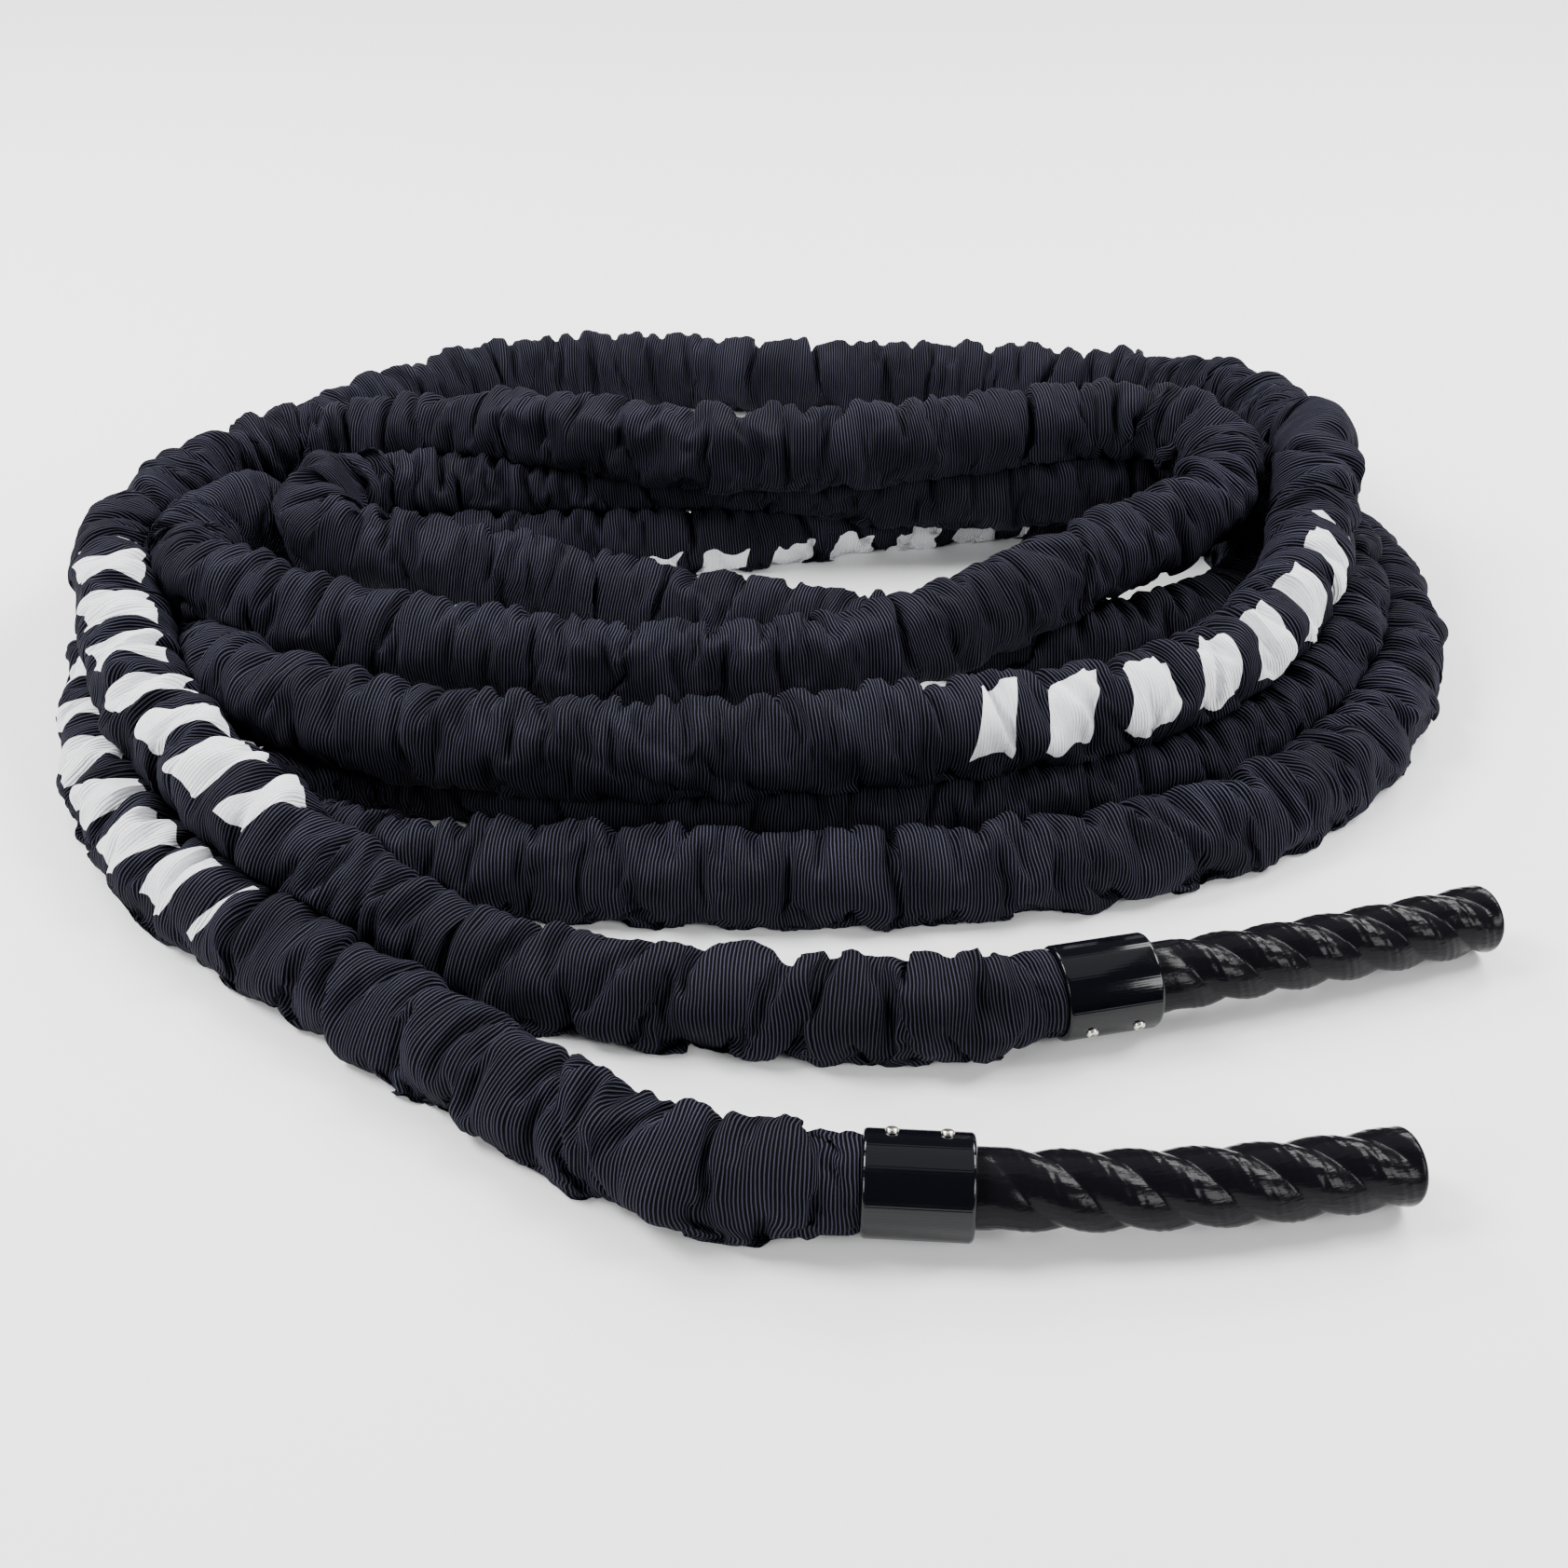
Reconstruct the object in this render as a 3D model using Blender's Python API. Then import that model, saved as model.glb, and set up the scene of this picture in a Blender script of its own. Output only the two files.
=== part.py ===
"""A sleeved battle rope, folded double and coiled loosely on the floor.

The rope is a three-strand core in a woven sleeve. At each end a collar clamps the sleeve
over a shrunk-on grip, and two screws hold the collar. Metres, +Z up. The origin is the
middle of the base of the whole rope's box, and x runs to the right with both grips.
"""

import math

import bmesh
import bpy
import numpy as np
from mathutils import Matrix, Vector

# The rope and its sleeve
core_diameter = 0.038
sleeve_fullness = 0.005
sleeve_play = 0.0004
seam_gap = 0.0003
flat_share = 0.1
strand_gap = 0.0026
loops = 5
points_per_loop = 24
tail_point_distance = 0.110
overrun = 0.004

# The turn that brings a flat side of a tube to the bottom, by its bevel resolution
side_down = {1: 0.0, 2: math.pi / 8}
weld_distance = 0.000001

# The grips: a three-strand rope end under a shrunk-on film
film_wall = 0.0015
grip_length = 0.224
groove_depth = 0.0034
strand_lay = 0.099
lobe_growth = 0.034
lobe_fade = 0.014
tip_rounding = 0.004
grip_strands = 3
grip_sides = 18
grip_rings = 30
crest_share = 0.8

# The collars
collar_length = 0.057
collar_wall = 0.0032
rim_rounding_share = 0.75
rim_steps = 4
bore_rounding_share = 0.2
bore_steps = 2
collar_sides = 40
sleeve_stop = 0.003

# The screws, two in each collar
screw_pitch = 0.028
screw_diameter = 0.0035
screw_head_diameter = 0.0070
screw_head_height = 0.0021
screw_bite = 0.004
screw_point = 0.0030
screw_sides = 14
film_past_screw = 0.0065

# Sizes that follow from those above
sleeve_diameter = core_diameter + 2 * sleeve_fullness
sleeve_radius = sleeve_diameter / 2
core_radius = core_diameter / 2
film_radius = core_radius + seam_gap + film_wall
collar_bore = sleeve_radius + seam_gap
collar_radius = collar_bore + collar_wall
low = sleeve_radius - flat_share * sleeve_diameter
clamp = collar_radius
strand_spacing = sleeve_diameter + strand_gap
screw_length = collar_radius - core_radius + screw_bite
film_start = (collar_length - screw_pitch) / 2 - film_past_screw

# How far each grip swings from its collar's line, and where its screws face,
# as an angle round the collar from its far side over the top
front_sweep = 0.036
rear_sweep = 0.014
front_screw_angle = math.radians(64)
rear_screw_angle = math.radians(199)

# The route of the rope's middle, chosen by hand. It starts at the front collar's mouth,
# and the second point of each tail from its collar is one diameter straight out. The
# places count from a point that lies this far from the middle of the box's base.
base_middle = (0.0019, -0.0014, 0)
front_tail = [
    (0.063, -0.521, clamp), (0.014, -0.5178, clamp), (-0.045, -0.499, 0.0225),
    (-0.105, -0.457, low), (-0.160, -0.418, low), (-0.225, -0.368, low),
    (-0.290, -0.320, low), (-0.350, -0.270, low), (-0.400, -0.205, low),
    (-0.435, -0.140, low), (-0.457, -0.065, low), (-0.476, 0.025, low),
]
outer_turn = [
    (-0.492, 0.120, low), (-0.492, 0.210, low), (-0.472, 0.300, low),
    (-0.425, 0.385, 0.022), (-0.345, 0.465, 0.028), (-0.240, 0.520, 0.036),
    (-0.110, 0.525, 0.040), (0.030, 0.510, 0.038), (0.170, 0.512, 0.036),
    (0.300, 0.490, 0.038), (0.385, 0.445, 0.050), (0.435, 0.380, 0.066),
    (0.448, 0.290, 0.082), (0.445, 0.190, 0.092), (0.430, 0.100, 0.092),
    (0.400, 0.010, 0.084), (0.350, -0.065, 0.076), (0.280, -0.123, 0.071),
    (0.170, -0.162, 0.070), (0.050, -0.182, 0.070), (-0.070, -0.190, 0.070),
    (-0.180, -0.178, 0.070), (-0.280, -0.147, 0.068), (-0.345, -0.100, 0.060),
    (-0.380, -0.045, 0.045), (-0.402, 0.025, 0.028),
]
second_turn = [
    (-0.415, 0.110, low), (-0.400, 0.195, low), (-0.355, 0.285, low),
    (-0.270, 0.345, low), (-0.140, 0.365, low), (0.030, 0.368, low),
    (0.190, 0.365, low), (0.325, 0.345, low), (0.430, 0.280, low),
    (0.492, 0.175, low), (0.495, 0.070, low), (0.470, -0.030, low),
    (0.418, -0.120, low), (0.345, -0.188, low), (0.250, -0.232, low),
    (0.110, -0.260, low), (-0.030, -0.261, low), (-0.150, -0.252, low),
    (-0.235, -0.246, low),
]
bight = [
    (-0.298, -0.224, low), (-0.322, -0.180, low), (-0.290, -0.140, low),
]
inner_turn = [
    (-0.215, -0.146, low), (-0.090, -0.176, low), (0.050, -0.183, low),
    (0.170, -0.171, low), (0.275, -0.145, 0.022), (0.362, -0.095, 0.030),
    (0.420, -0.030, 0.040), (0.452, 0.065, 0.046), (0.450, 0.148, 0.054),
    (0.408, 0.205, 0.066), (0.330, 0.222, 0.072), (0.240, 0.218, 0.068),
    (0.120, 0.212, 0.066), (0.000, 0.218, 0.064), (-0.110, 0.222, 0.060),
    (-0.230, 0.224, 0.056), (-0.322, 0.205, 0.058), (-0.362, 0.160, 0.064),
    (-0.332, 0.108, 0.068), (-0.255, 0.094, 0.060), (-0.150, 0.096, 0.034),
    (-0.060, 0.080, 0.020),
]
low_turn = [
    (0.030, 0.058, low), (0.120, 0.033, low), (0.200, 0.026, low),
    (0.290, 0.040, low), (0.362, 0.073, low), (0.407, 0.130, low),
    (0.412, 0.195, low), (0.362, 0.247, low), (0.270, 0.259, low),
    (0.170, 0.252, low), (0.060, 0.225, low), (-0.040, 0.200, low),
    (-0.150, 0.188, low), (-0.250, 0.180, low), (-0.350, 0.172, 0.028),
    (-0.420, 0.148, 0.044), (-0.446, 0.098, 0.060), (-0.428, 0.044, 0.070),
    (-0.375, 0.004, 0.072),
]
top_turn = [
    (-0.290, -0.032, 0.066), (-0.200, -0.054, 0.062), (-0.100, -0.068, 0.058),
    (0.000, -0.068, 0.058), (0.090, -0.050, 0.062), (0.170, -0.004, 0.068),
    (0.250, 0.052, 0.076), (0.322, 0.096, 0.088), (0.370, 0.146, 0.096),
    (0.370, 0.200, 0.102), (0.312, 0.226, 0.105), (0.230, 0.220, 0.105),
    (0.130, 0.200, 0.105), (0.020, 0.188, 0.105), (-0.080, 0.202, 0.103),
    (-0.180, 0.235, 0.094), (-0.280, 0.278, 0.080), (-0.370, 0.295, 0.068),
    (-0.440, 0.262, 0.062),
]
rear_tail = [
    (-0.470, 0.180, 0.066), (-0.477, 0.090, 0.068), (-0.460, 0.000, 0.064),
    (-0.426, -0.083, 0.060), (-0.380, -0.159, 0.060), (-0.322, -0.224, 0.056),
    (-0.255, -0.279, 0.040), (-0.185, -0.328, 0.023), (-0.120, -0.354, low),
    (-0.050, -0.370, low), (0.020, -0.379, low), (0.080, -0.386, 0.0225),
    (0.1297, -0.3899, clamp), (0.1775, -0.379, clamp),
]

# The spacing rule, which draws the smooth route's strands apart where they would meet
fine_step = 0.012
span_readings = 12
rule_rounds = 200
look_again = 20
homing_share = 0.02
fairing_share = 0.12
fairings = 4
partings = 2
near_share = 1.3
held_points = 4
same_strand_points = 10
turning_share = 0.6
reading_step = 0.006
run_gap = 0.0008
clearing_rounds = 60


def clear_scene():
    for thing in list(bpy.data.objects):
        bpy.data.objects.remove(thing, do_unlink=True)


def finish(name, colour, roughness, metallic):
    """A Principled material of one colour."""
    material = bpy.data.materials.new(name)
    material.use_nodes = True
    shader = material.node_tree.nodes["Principled BSDF"]
    shader.inputs["Base Color"].default_value = (*colour, 1)
    shader.inputs["Roughness"].default_value = roughness
    shader.inputs["Metallic"].default_value = metallic
    material.diffuse_color = (*colour, 1)
    return material


def smooth_through(places):
    """A smooth curve through the places, read evenly, with the length at each place."""
    p = np.vstack([2 * places[0] - places[1], places, 2 * places[-1] - places[-2]])
    curve = []
    for i in range(1, len(p) - 2):
        a, b, c, d = p[i - 1:i + 3]
        knots = np.cumsum([0] + [np.linalg.norm(q - r) ** 0.5 for q, r in ((b, a), (c, b), (d, c))])
        for t in np.linspace(knots[1], knots[2], span_readings, endpoint=False):
            ab = a + (b - a) * (t - knots[0]) / (knots[1] - knots[0])
            bc = b + (c - b) * (t - knots[1]) / (knots[2] - knots[1])
            cd = c + (d - c) * (t - knots[2]) / (knots[3] - knots[2])
            first = ab + (bc - ab) * (t - knots[0]) / (knots[2] - knots[0])
            second = bc + (cd - bc) * (t - knots[1]) / (knots[3] - knots[1])
            curve.append(first + (second - first) * (t - knots[1]) / (knots[2] - knots[1]))
    curve = np.array(curve + [p[-2]])
    along = lengths(curve)
    count = round(along[-1] / fine_step)
    return read_at(curve, np.linspace(0, along[-1], count + 1)), along[::span_readings]


def lengths(path):
    """The length of the path up to each of its points."""
    return np.r_[0, np.cumsum(np.linalg.norm(np.diff(path, axis=0), axis=1))]


def read_at(path, along):
    """The places on the path at the given lengths."""
    return np.column_stack([np.interp(along, lengths(path), path[:, k]) for k in range(3)])


def near_pairs(path, reach, apart):
    """The pairs of points nearer than reach, and more than so many points apart."""
    distance = np.linalg.norm(path[:, None, :] - path[None, :, :], axis=2)
    i, j = np.where(distance < reach)
    far_along = (j - i) > apart
    return i[far_along], j[far_along]


def keep_apart(path):
    """The path with its strands at least the strand spacing apart, and none below the floor."""
    home = path.copy()
    count = len(path)
    for step in range(rule_rounds):
        if step % look_again == 0:
            i, j = near_pairs(path, strand_spacing * near_share, same_strand_points)
        path = path + homing_share * (home - path)
        for _ in range(fairings):
            bend = np.zeros_like(path)
            bend[1:-1] = path[:-2] + path[2:] - 2 * path[1:-1]
            path[2:-2] -= fairing_share * (bend[1:-3] + bend[3:-1] - 2 * bend[2:-2])
        for _ in range(partings):
            between = path[i] - path[j]
            distance = np.linalg.norm(between, axis=1)
            short = np.maximum(strand_spacing - distance, 0) / 2
            pushes = np.bincount(i, short > 0, count) + np.bincount(j, short > 0, count)
            push = np.zeros_like(path)
            np.add.at(push, i, between / distance[:, None] * short[:, None])
            np.add.at(push, j, -between / distance[:, None] * short[:, None])
            path += push / np.maximum(pushes, 1)[:, None]
            path[:, 2] = np.maximum(path[:, 2], low)
        path[:held_points] = home[:held_points]
        path[-held_points:] = home[-held_points:]
    return path


def coil_readings(path, count):
    """Lengths for so many points, closer together where the path turns more."""
    along = lengths(path)
    heading = np.diff(path, axis=0) / np.diff(along)[:, None]
    turn = np.arccos(np.clip((heading[1:] * heading[:-1]).sum(axis=1), -1, 1))
    turned = np.r_[0, np.cumsum(turn)]
    turned = np.r_[turned, turned[-1]]
    measure = (1 - turning_share) * along / along[-1] + turning_share * turned / turned[-1]
    return np.interp(np.linspace(0, 1, count), measure, along)


def strand_readings(points):
    """Even readings of a tube's straight runs, and the pairs of them on near strands."""
    along = lengths(points)
    count = round(along[-1] / reading_step)
    share = np.interp(np.linspace(0, along[-1], count), along, np.arange(len(points)))
    before = np.minimum(share.astype(int), len(points) - 2)
    weight = np.zeros((count, len(points)))
    weight[np.arange(count), before] = 1 - (share - before)
    weight[np.arange(count), before + 1] = share - before
    fine = weight @ points
    i, j = near_pairs(fine, strand_spacing * near_share, int(3 * sleeve_diameter / reading_step))
    return weight, fine, i, j


def clear_strands(points):
    """The points with the tube's straight runs drawn clear of each other."""
    home = points.copy()
    for _ in range(clearing_rounds):
        weight, fine, i, j = strand_readings(points)
        between = fine[i] - fine[j]
        distance = np.linalg.norm(between, axis=1)
        short = np.maximum(sleeve_diameter + run_gap - distance, 0) / 2
        push = np.zeros_like(fine)
        most = np.zeros(len(fine))
        np.add.at(push, i, between / distance[:, None] * short[:, None])
        np.add.at(push, j, -between / distance[:, None] * short[:, None])
        np.add.at(most, i, short > 0)
        np.add.at(most, j, short > 0)
        push /= np.maximum(most, 1)[:, None]
        carried = weight.T @ (most > 0)
        points = points + weight.T @ push / np.maximum(carried, 1)[:, None]
        points[:, 2] = np.maximum(points[:, 2], low)
        points[:2] = home[:2]
        points[-2:] = home[-2:]
    return points


def least_gap(points):
    """The least gap between two strands of a tube through the points, and its place."""
    _, fine, i, j = strand_readings(points)
    distance = np.linalg.norm(fine[i] - fine[j], axis=1)
    nearest = int(np.argmin(distance))
    return distance[nearest] - sleeve_diameter, fine[i[nearest]]


def stretched(points, start, end):
    """The points with the first moved back by start and the last moved on by end."""
    points = points.copy()
    first = points[0] - points[1]
    last = points[-1] - points[-2]
    points[0] += first / np.linalg.norm(first) * start
    points[-1] += last / np.linalg.norm(last) * end
    return points


def tube(name, points, radius, resolution):
    """A closed tube through the points, with a flat side below, as a mesh."""
    curve = bpy.data.curves.new(name, "CURVE")
    curve.dimensions = "3D"
    curve.twist_mode = "Z_UP"
    curve.bevel_depth = radius
    curve.bevel_resolution = resolution
    curve.use_fill_caps = True
    spline = curve.splines.new("POLY")
    spline.points.add(len(points) - 1)
    for point, place in zip(spline.points, points):
        point.co = (*place, 1)
        point.tilt = side_down[resolution]
    guide = bpy.data.objects.new(name + "_line", curve)
    bpy.context.scene.collection.objects.link(guide)
    shape = guide.evaluated_get(bpy.context.evaluated_depsgraph_get())
    mesh = bpy.data.meshes.new_from_object(shape)
    bpy.data.objects.remove(guide, do_unlink=True)
    bm = bmesh.new()
    bm.from_mesh(mesh)
    bmesh.ops.remove_doubles(bm, verts=bm.verts, dist=weld_distance)
    bmesh.ops.recalc_face_normals(bm, faces=bm.faces)
    # A rope and its sleeve's bore split their twisted quads alike, so they never cross
    bmesh.ops.triangulate(bm, faces=bm.faces, quad_method="FIXED")
    return from_bmesh(name, bm)


def from_bmesh(name, bm):
    mesh = bpy.data.meshes.new(name)
    bm.to_mesh(mesh)
    bm.free()
    thing = bpy.data.objects.new(name, mesh)
    bpy.context.scene.collection.objects.link(thing)
    return thing


def give(thing, material):
    thing.data.materials.clear()
    thing.data.materials.append(material)
    thing.data.shade_smooth()
    thing.data.set_sharp_from_angle(angle=math.radians(35))


def cut(thing, cutters):
    """Takes the cutters' space out of the thing."""
    for cutter in cutters:
        cutter.hide_render = True
        cutter.display_type = "WIRE"
        boolean = thing.modifiers.new(cutter.name, "BOOLEAN")
        boolean.operation = "DIFFERENCE"
        boolean.solver = "EXACT"
        boolean.object = cutter


def floor_block(points):
    """A block under the floor, as wide as the points, that cuts a tube flat where it lies."""
    bm = bmesh.new()
    bmesh.ops.create_cube(bm, size=1)
    box_low = points.min(axis=0) - sleeve_diameter
    box_high = points.max(axis=0) + sleeve_diameter
    box_high[2] = 0
    bmesh.ops.transform(bm, matrix=Matrix.LocRotScale(
        Vector((box_low + box_high) / 2), None, Vector(box_high - box_low)), verts=bm.verts)
    return from_bmesh("floor_block", bm)


def turned(name, profile, sides, place):
    """A piece turned from (radius, height) pairs about its own z axis, then placed."""
    bm = bmesh.new()
    points = [bm.verts.new((radius, 0, height)) for radius, height in profile]
    edges = [bm.edges.new(pair) for pair in zip(points, points[1:])]
    if profile[0][0] > 0:
        edges.append(bm.edges.new((points[-1], points[0])))
    bmesh.ops.spin(bm, geom=points + edges, cent=(0, 0, 0), axis=(0, 0, 1),
                   angle=math.tau, steps=sides, use_merge=True)
    bmesh.ops.remove_doubles(bm, verts=bm.verts, dist=weld_distance)
    bmesh.ops.recalc_face_normals(bm, faces=bm.faces)
    bmesh.ops.transform(bm, matrix=place, verts=bm.verts)
    return from_bmesh(name, bm)


def lofted(name, rings, start_pole, end_pole):
    """One closed skin over rings of points, closed at each end by a fan to its pole."""
    bm = bmesh.new()
    rows = [[bm.verts.new(point) for point in ring] for ring in rings]
    sides = len(rows[0])
    for row, after in zip(rows, rows[1:]):
        for k in range(sides):
            m = (k + 1) % sides
            bm.faces.new((row[k], row[m], after[m], after[k]))
    for row, pole in ((rows[0], start_pole), (rows[-1], end_pole)):
        centre = bm.verts.new(pole)
        for k in range(sides):
            bm.faces.new((row[k], row[(k + 1) % sides], centre))
    bmesh.ops.triangulate(bm, faces=bm.faces, quad_method="FIXED")
    bmesh.ops.recalc_face_normals(bm, faces=bm.faces)
    return from_bmesh(name, bm)


class End:
    """One end of the rope: where its collar and grip stand."""

    def __init__(self, name, mouth, one_before, sweep, screw_angle):
        self.name = name
        self.mouth = Vector(mouth)
        self.line = (self.mouth - Vector(one_before)).normalized()
        self.side = Vector((0, 0, 1)).cross(self.line)
        self.sweep = sweep
        self.screw_angle = screw_angle

    def on_line(self, along):
        return self.mouth + self.line * along

    def frame(self, along):
        """The grip's middle line at a length from the collar's mouth, and its directions."""
        beyond = max(along - collar_length, 0) / grip_length
        drop = clamp - film_radius - seam_gap
        place = self.on_line(along) + self.side * self.sweep * beyond ** 2
        place.z -= drop * beyond ** 2
        ahead = self.line * grip_length + (
            self.side * self.sweep - Vector((0, 0, drop))) * 2 * beyond
        ahead.normalize()
        aside = Vector((0, 0, 1)).cross(ahead).normalized()
        return place, aside, ahead.cross(aside), ahead

    def screw_place(self, number):
        """A screw's place on the collar, with z outwards."""
        along = collar_length / 2 + (number - 0.5) * screw_pitch
        out = self.side * math.cos(self.screw_angle)
        out.z += math.sin(self.screw_angle)
        turn = out.to_track_quat("Z", "Y").to_matrix().to_4x4()
        return Matrix.Translation(self.on_line(along) + out * (collar_radius + seam_gap)) @ turn


def eased(share):
    share = min(max(share, 0), 1)
    return share * share * (3 - 2 * share)


def grip_ring(end, along, inset, shrink):
    """A ring of the grip's three-lobed section, set in from the film's outside."""
    place, aside, up, _ = end.frame(along)
    beyond = along - collar_length
    lobes = eased(beyond / lobe_growth) * eased((grip_length - beyond) / lobe_fade)
    turn = math.tau * beyond / strand_lay
    ring = []
    for k in range(grip_sides):
        around = math.tau * k / grip_sides
        crest = ((1 + math.cos(grip_strands * (around - turn))) / 2) ** crest_share
        radius = film_radius - inset - shrink - groove_depth * lobes * (1 - crest)
        ring.append(place + aside * radius * math.cos(around) + up * radius * math.sin(around))
    return ring


def grip_rows(end, start, inset):
    """Rings from the collar to the rounded tip, and the pole that closes the tip."""
    tip = collar_length + grip_length - inset
    straight = collar_length + grip_length - tip_rounding
    rounding = tip - straight
    count = grip_rings
    rows = [grip_ring(end, start, inset, 0)]
    rows += [grip_ring(end, collar_length + (straight - collar_length) * k / count, inset, 0)
             for k in range(count + 1)]
    for share in (1 / 3, 2 / 3, 1):
        angle = share * math.pi / 2
        rows.append(grip_ring(end, straight + rounding * math.sin(angle), inset,
                              rounding * (1 - math.cos(angle))))
    return rows, end.frame(tip)[0]


def grip_film(end):
    """The shrunk-on film: a three-lobed cup with a closed tip. Its rings run backwards, so
    that the wall splits its quads as the rope's end inside it does."""
    outer, outer_pole = grip_rows(end, film_start, 0)
    inner, inner_pole = grip_rows(end, film_start, film_wall)
    rings = [ring[::-1] for ring in inner[::-1] + outer]
    return lofted("grip_" + end.name, rings, inner_pole, outer_pole)


def grip_core(end):
    """The rope's own twisted end, inside the film."""
    rows, pole = grip_rows(end, film_start, film_wall + seam_gap)
    return lofted("core_" + end.name + "_grip", rows, end.on_line(film_start), pole)


def rounded(first_way, last_way, corner, rounding, steps):
    """Points round a corner, from one of the two ways that leave it to the other."""
    first_way, last_way = Vector(first_way) * rounding, Vector(last_way) * rounding
    middle = Vector(corner) + first_way + last_way
    angles = [math.pi / 2 * k / steps for k in range(steps + 1)]
    return [tuple(middle - last_way * math.cos(a) - first_way * math.sin(a)) for a in angles]


def collar(end):
    """A tube with rounded rims, drilled for its screws."""
    inwards, outwards, on, back = (-1, 0), (1, 0), (0, 1), (0, -1)
    rim = collar_wall * rim_rounding_share
    edge = collar_wall * bore_rounding_share
    profile = rounded(on, inwards, (collar_radius, 0), rim, rim_steps)
    profile += rounded(outwards, on, (collar_bore, 0), edge, bore_steps)
    profile += rounded(back, outwards, (collar_bore, collar_length), edge, bore_steps)
    profile += rounded(inwards, back, (collar_radius, collar_length), rim, rim_steps)
    turn = end.line.to_track_quat("Z", "Y").to_matrix().to_4x4()
    return turned("collar_" + end.name, profile, collar_sides,
                  Matrix.Translation(end.mouth) @ turn)


def screw(end, number):
    """A pan-head screw: a domed head, a plain shank and its point."""
    head = screw_head_diameter / 2
    shank = screw_diameter / 2
    profile = [(0, screw_head_height)]
    profile += [(head * math.sin(a), screw_head_height * math.cos(a))
                for a in (math.pi / 5, math.pi / 3)]
    profile += [(head, screw_head_height / 4), (head, 0), (shank, 0),
                (shank, screw_point - screw_length), (0, -screw_length)]
    name = "screw_" + end.name + "_" + ("inner", "outer")[number]
    return turned(name, profile, screw_sides, end.screw_place(number))


def screw_hole(end, number, name):
    """A cutter for one screw's way in, with its clearance."""
    radius = screw_diameter / 2 + seam_gap
    profile = [(0, overrun), (radius, overrun), (radius, -screw_length - seam_gap),
               (0, -screw_length - seam_gap)]
    return turned(name, profile, screw_sides, end.screw_place(number))


def round_bore(end, name):
    """A cutter that widens the sleeve's end to go over the film."""
    radius = film_radius + seam_gap
    profile = [(0, film_start - seam_gap), (radius, film_start - seam_gap),
               (radius, collar_length + overrun), (0, collar_length + overrun)]
    turn = end.line.to_track_quat("Z", "Y").to_matrix().to_4x4()
    return turned(name, profile, collar_sides, Matrix.Translation(end.mouth) @ turn)


def build():
    clear_scene()
    fabric = finish("woven_nylon", (0.012, 0.012, 0.020), 0.85, 0)
    rope = finish("laid_polyester", (0.030, 0.030, 0.032), 0.80, 0)
    film = finish("shrunk_polyolefin", (0.020, 0.019, 0.026), 0.34, 0)
    black = finish("moulded_collar", (0.004, 0.005, 0.008), 0.18, 0)
    steel = finish("zinc_plated_steel", (0.62, 0.62, 0.60), 0.28, 1)

    coil_route = outer_turn + second_turn + bight + inner_turn + low_turn + top_turn
    places = np.array(front_tail + coil_route + rear_tail) - base_middle
    route, at_place = smooth_through(places)
    route = keep_apart(route)
    stretch = lengths(route)[-1] / at_place[-1]
    front_cut = at_place[len(front_tail)] * stretch
    rear_cut = at_place[len(front_tail) + len(coil_route)] * stretch
    whole = lengths(route)[-1]
    print(f"sleeve between the collars: {whole:.3f} m")

    front = End("front", places[0], places[1], front_sweep, front_screw_angle)
    rear = End("rear", places[-1], places[-2], rear_sweep, rear_screw_angle)
    sleeve_depth = collar_length - sleeve_stop

    # One row of points for the whole rope, cut square in the middle of two straight runs
    run = sleeve_diameter + seam_gap
    coil = read_at(route, front_cut + run + coil_readings(
        read_at(route, np.arange(front_cut + run, rear_cut - run, fine_step)),
        loops * points_per_loop))
    tail_ends = ((front, 0, front_cut - run), (rear, whole, rear_cut + run))
    tails = {}
    for end, mouth_length, last_length in tail_ends:
        first_length = mouth_length + math.copysign(sleeve_diameter, last_length - mouth_length)
        count = round(abs(last_length - first_length) / tail_point_distance) + 1
        points = read_at(route, np.linspace(first_length, last_length, count))
        points[0] = end.on_line(-sleeve_diameter)
        tails[end.name] = points
    first, last = len(tails["front"]), len(tails["front"]) + len(coil)
    points = clear_strands(np.vstack([tails["front"], coil, tails["rear"][::-1]]))
    gap, place = least_gap(points)
    print(f"least gap of the sleeve to itself: {gap * 1000:.2f} mm at {place.round(3)}")
    tails = {"front": points[:first], "rear": points[last:][::-1]}
    joins = {"front": (points[first - 1] + points[first]) / 2,
             "rear": (points[last - 1] + points[last]) / 2}
    coil = np.vstack([joins["front"], points[first:last], joins["rear"]])
    coil = stretched(coil, -seam_gap / 2, -seam_gap / 2)

    sleeve = tube("sleeve_coil", coil, sleeve_radius, 1)
    bore = tube("coil_bore", stretched(coil, overrun, overrun), core_radius + sleeve_play, 1)
    cut(sleeve, [bore, floor_block(coil)])
    give(sleeve, fabric)
    give(tube("core_coil", coil, core_radius, 1), rope)

    for end in (front, rear):
        run_points = np.vstack([tails[end.name], joins[end.name]])
        sleeve_points = np.vstack([end.on_line(sleeve_depth), run_points])
        sleeve_points = stretched(sleeve_points, 0, -seam_gap / 2)
        tail = tube("sleeve_" + end.name + "_tail", sleeve_points, sleeve_radius, 2)
        bore = tube(end.name + "_bore", stretched(sleeve_points, overrun, overrun),
                    core_radius + sleeve_play, 2)
        holes = [screw_hole(end, n, end.name + "_sleeve_hole") for n in (0, 1)]
        cut(tail, [bore, round_bore(end, end.name + "_round_bore"), floor_block(run_points)] + holes)
        give(tail, fabric)

        core_points = np.vstack([end.on_line(film_start - seam_gap), run_points])
        give(tube("core_" + end.name + "_tail", stretched(core_points, 0, -seam_gap / 2),
                  core_radius, 2), rope)

        shell = grip_film(end)
        cut(shell, holes)
        give(shell, film)
        twisted = grip_core(end)
        cut(twisted, holes)
        give(twisted, rope)
        ring = collar(end)
        cut(ring, holes)
        give(ring, black)
        for number in (0, 1):
            give(screw(end, number), steel)


build()
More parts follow.
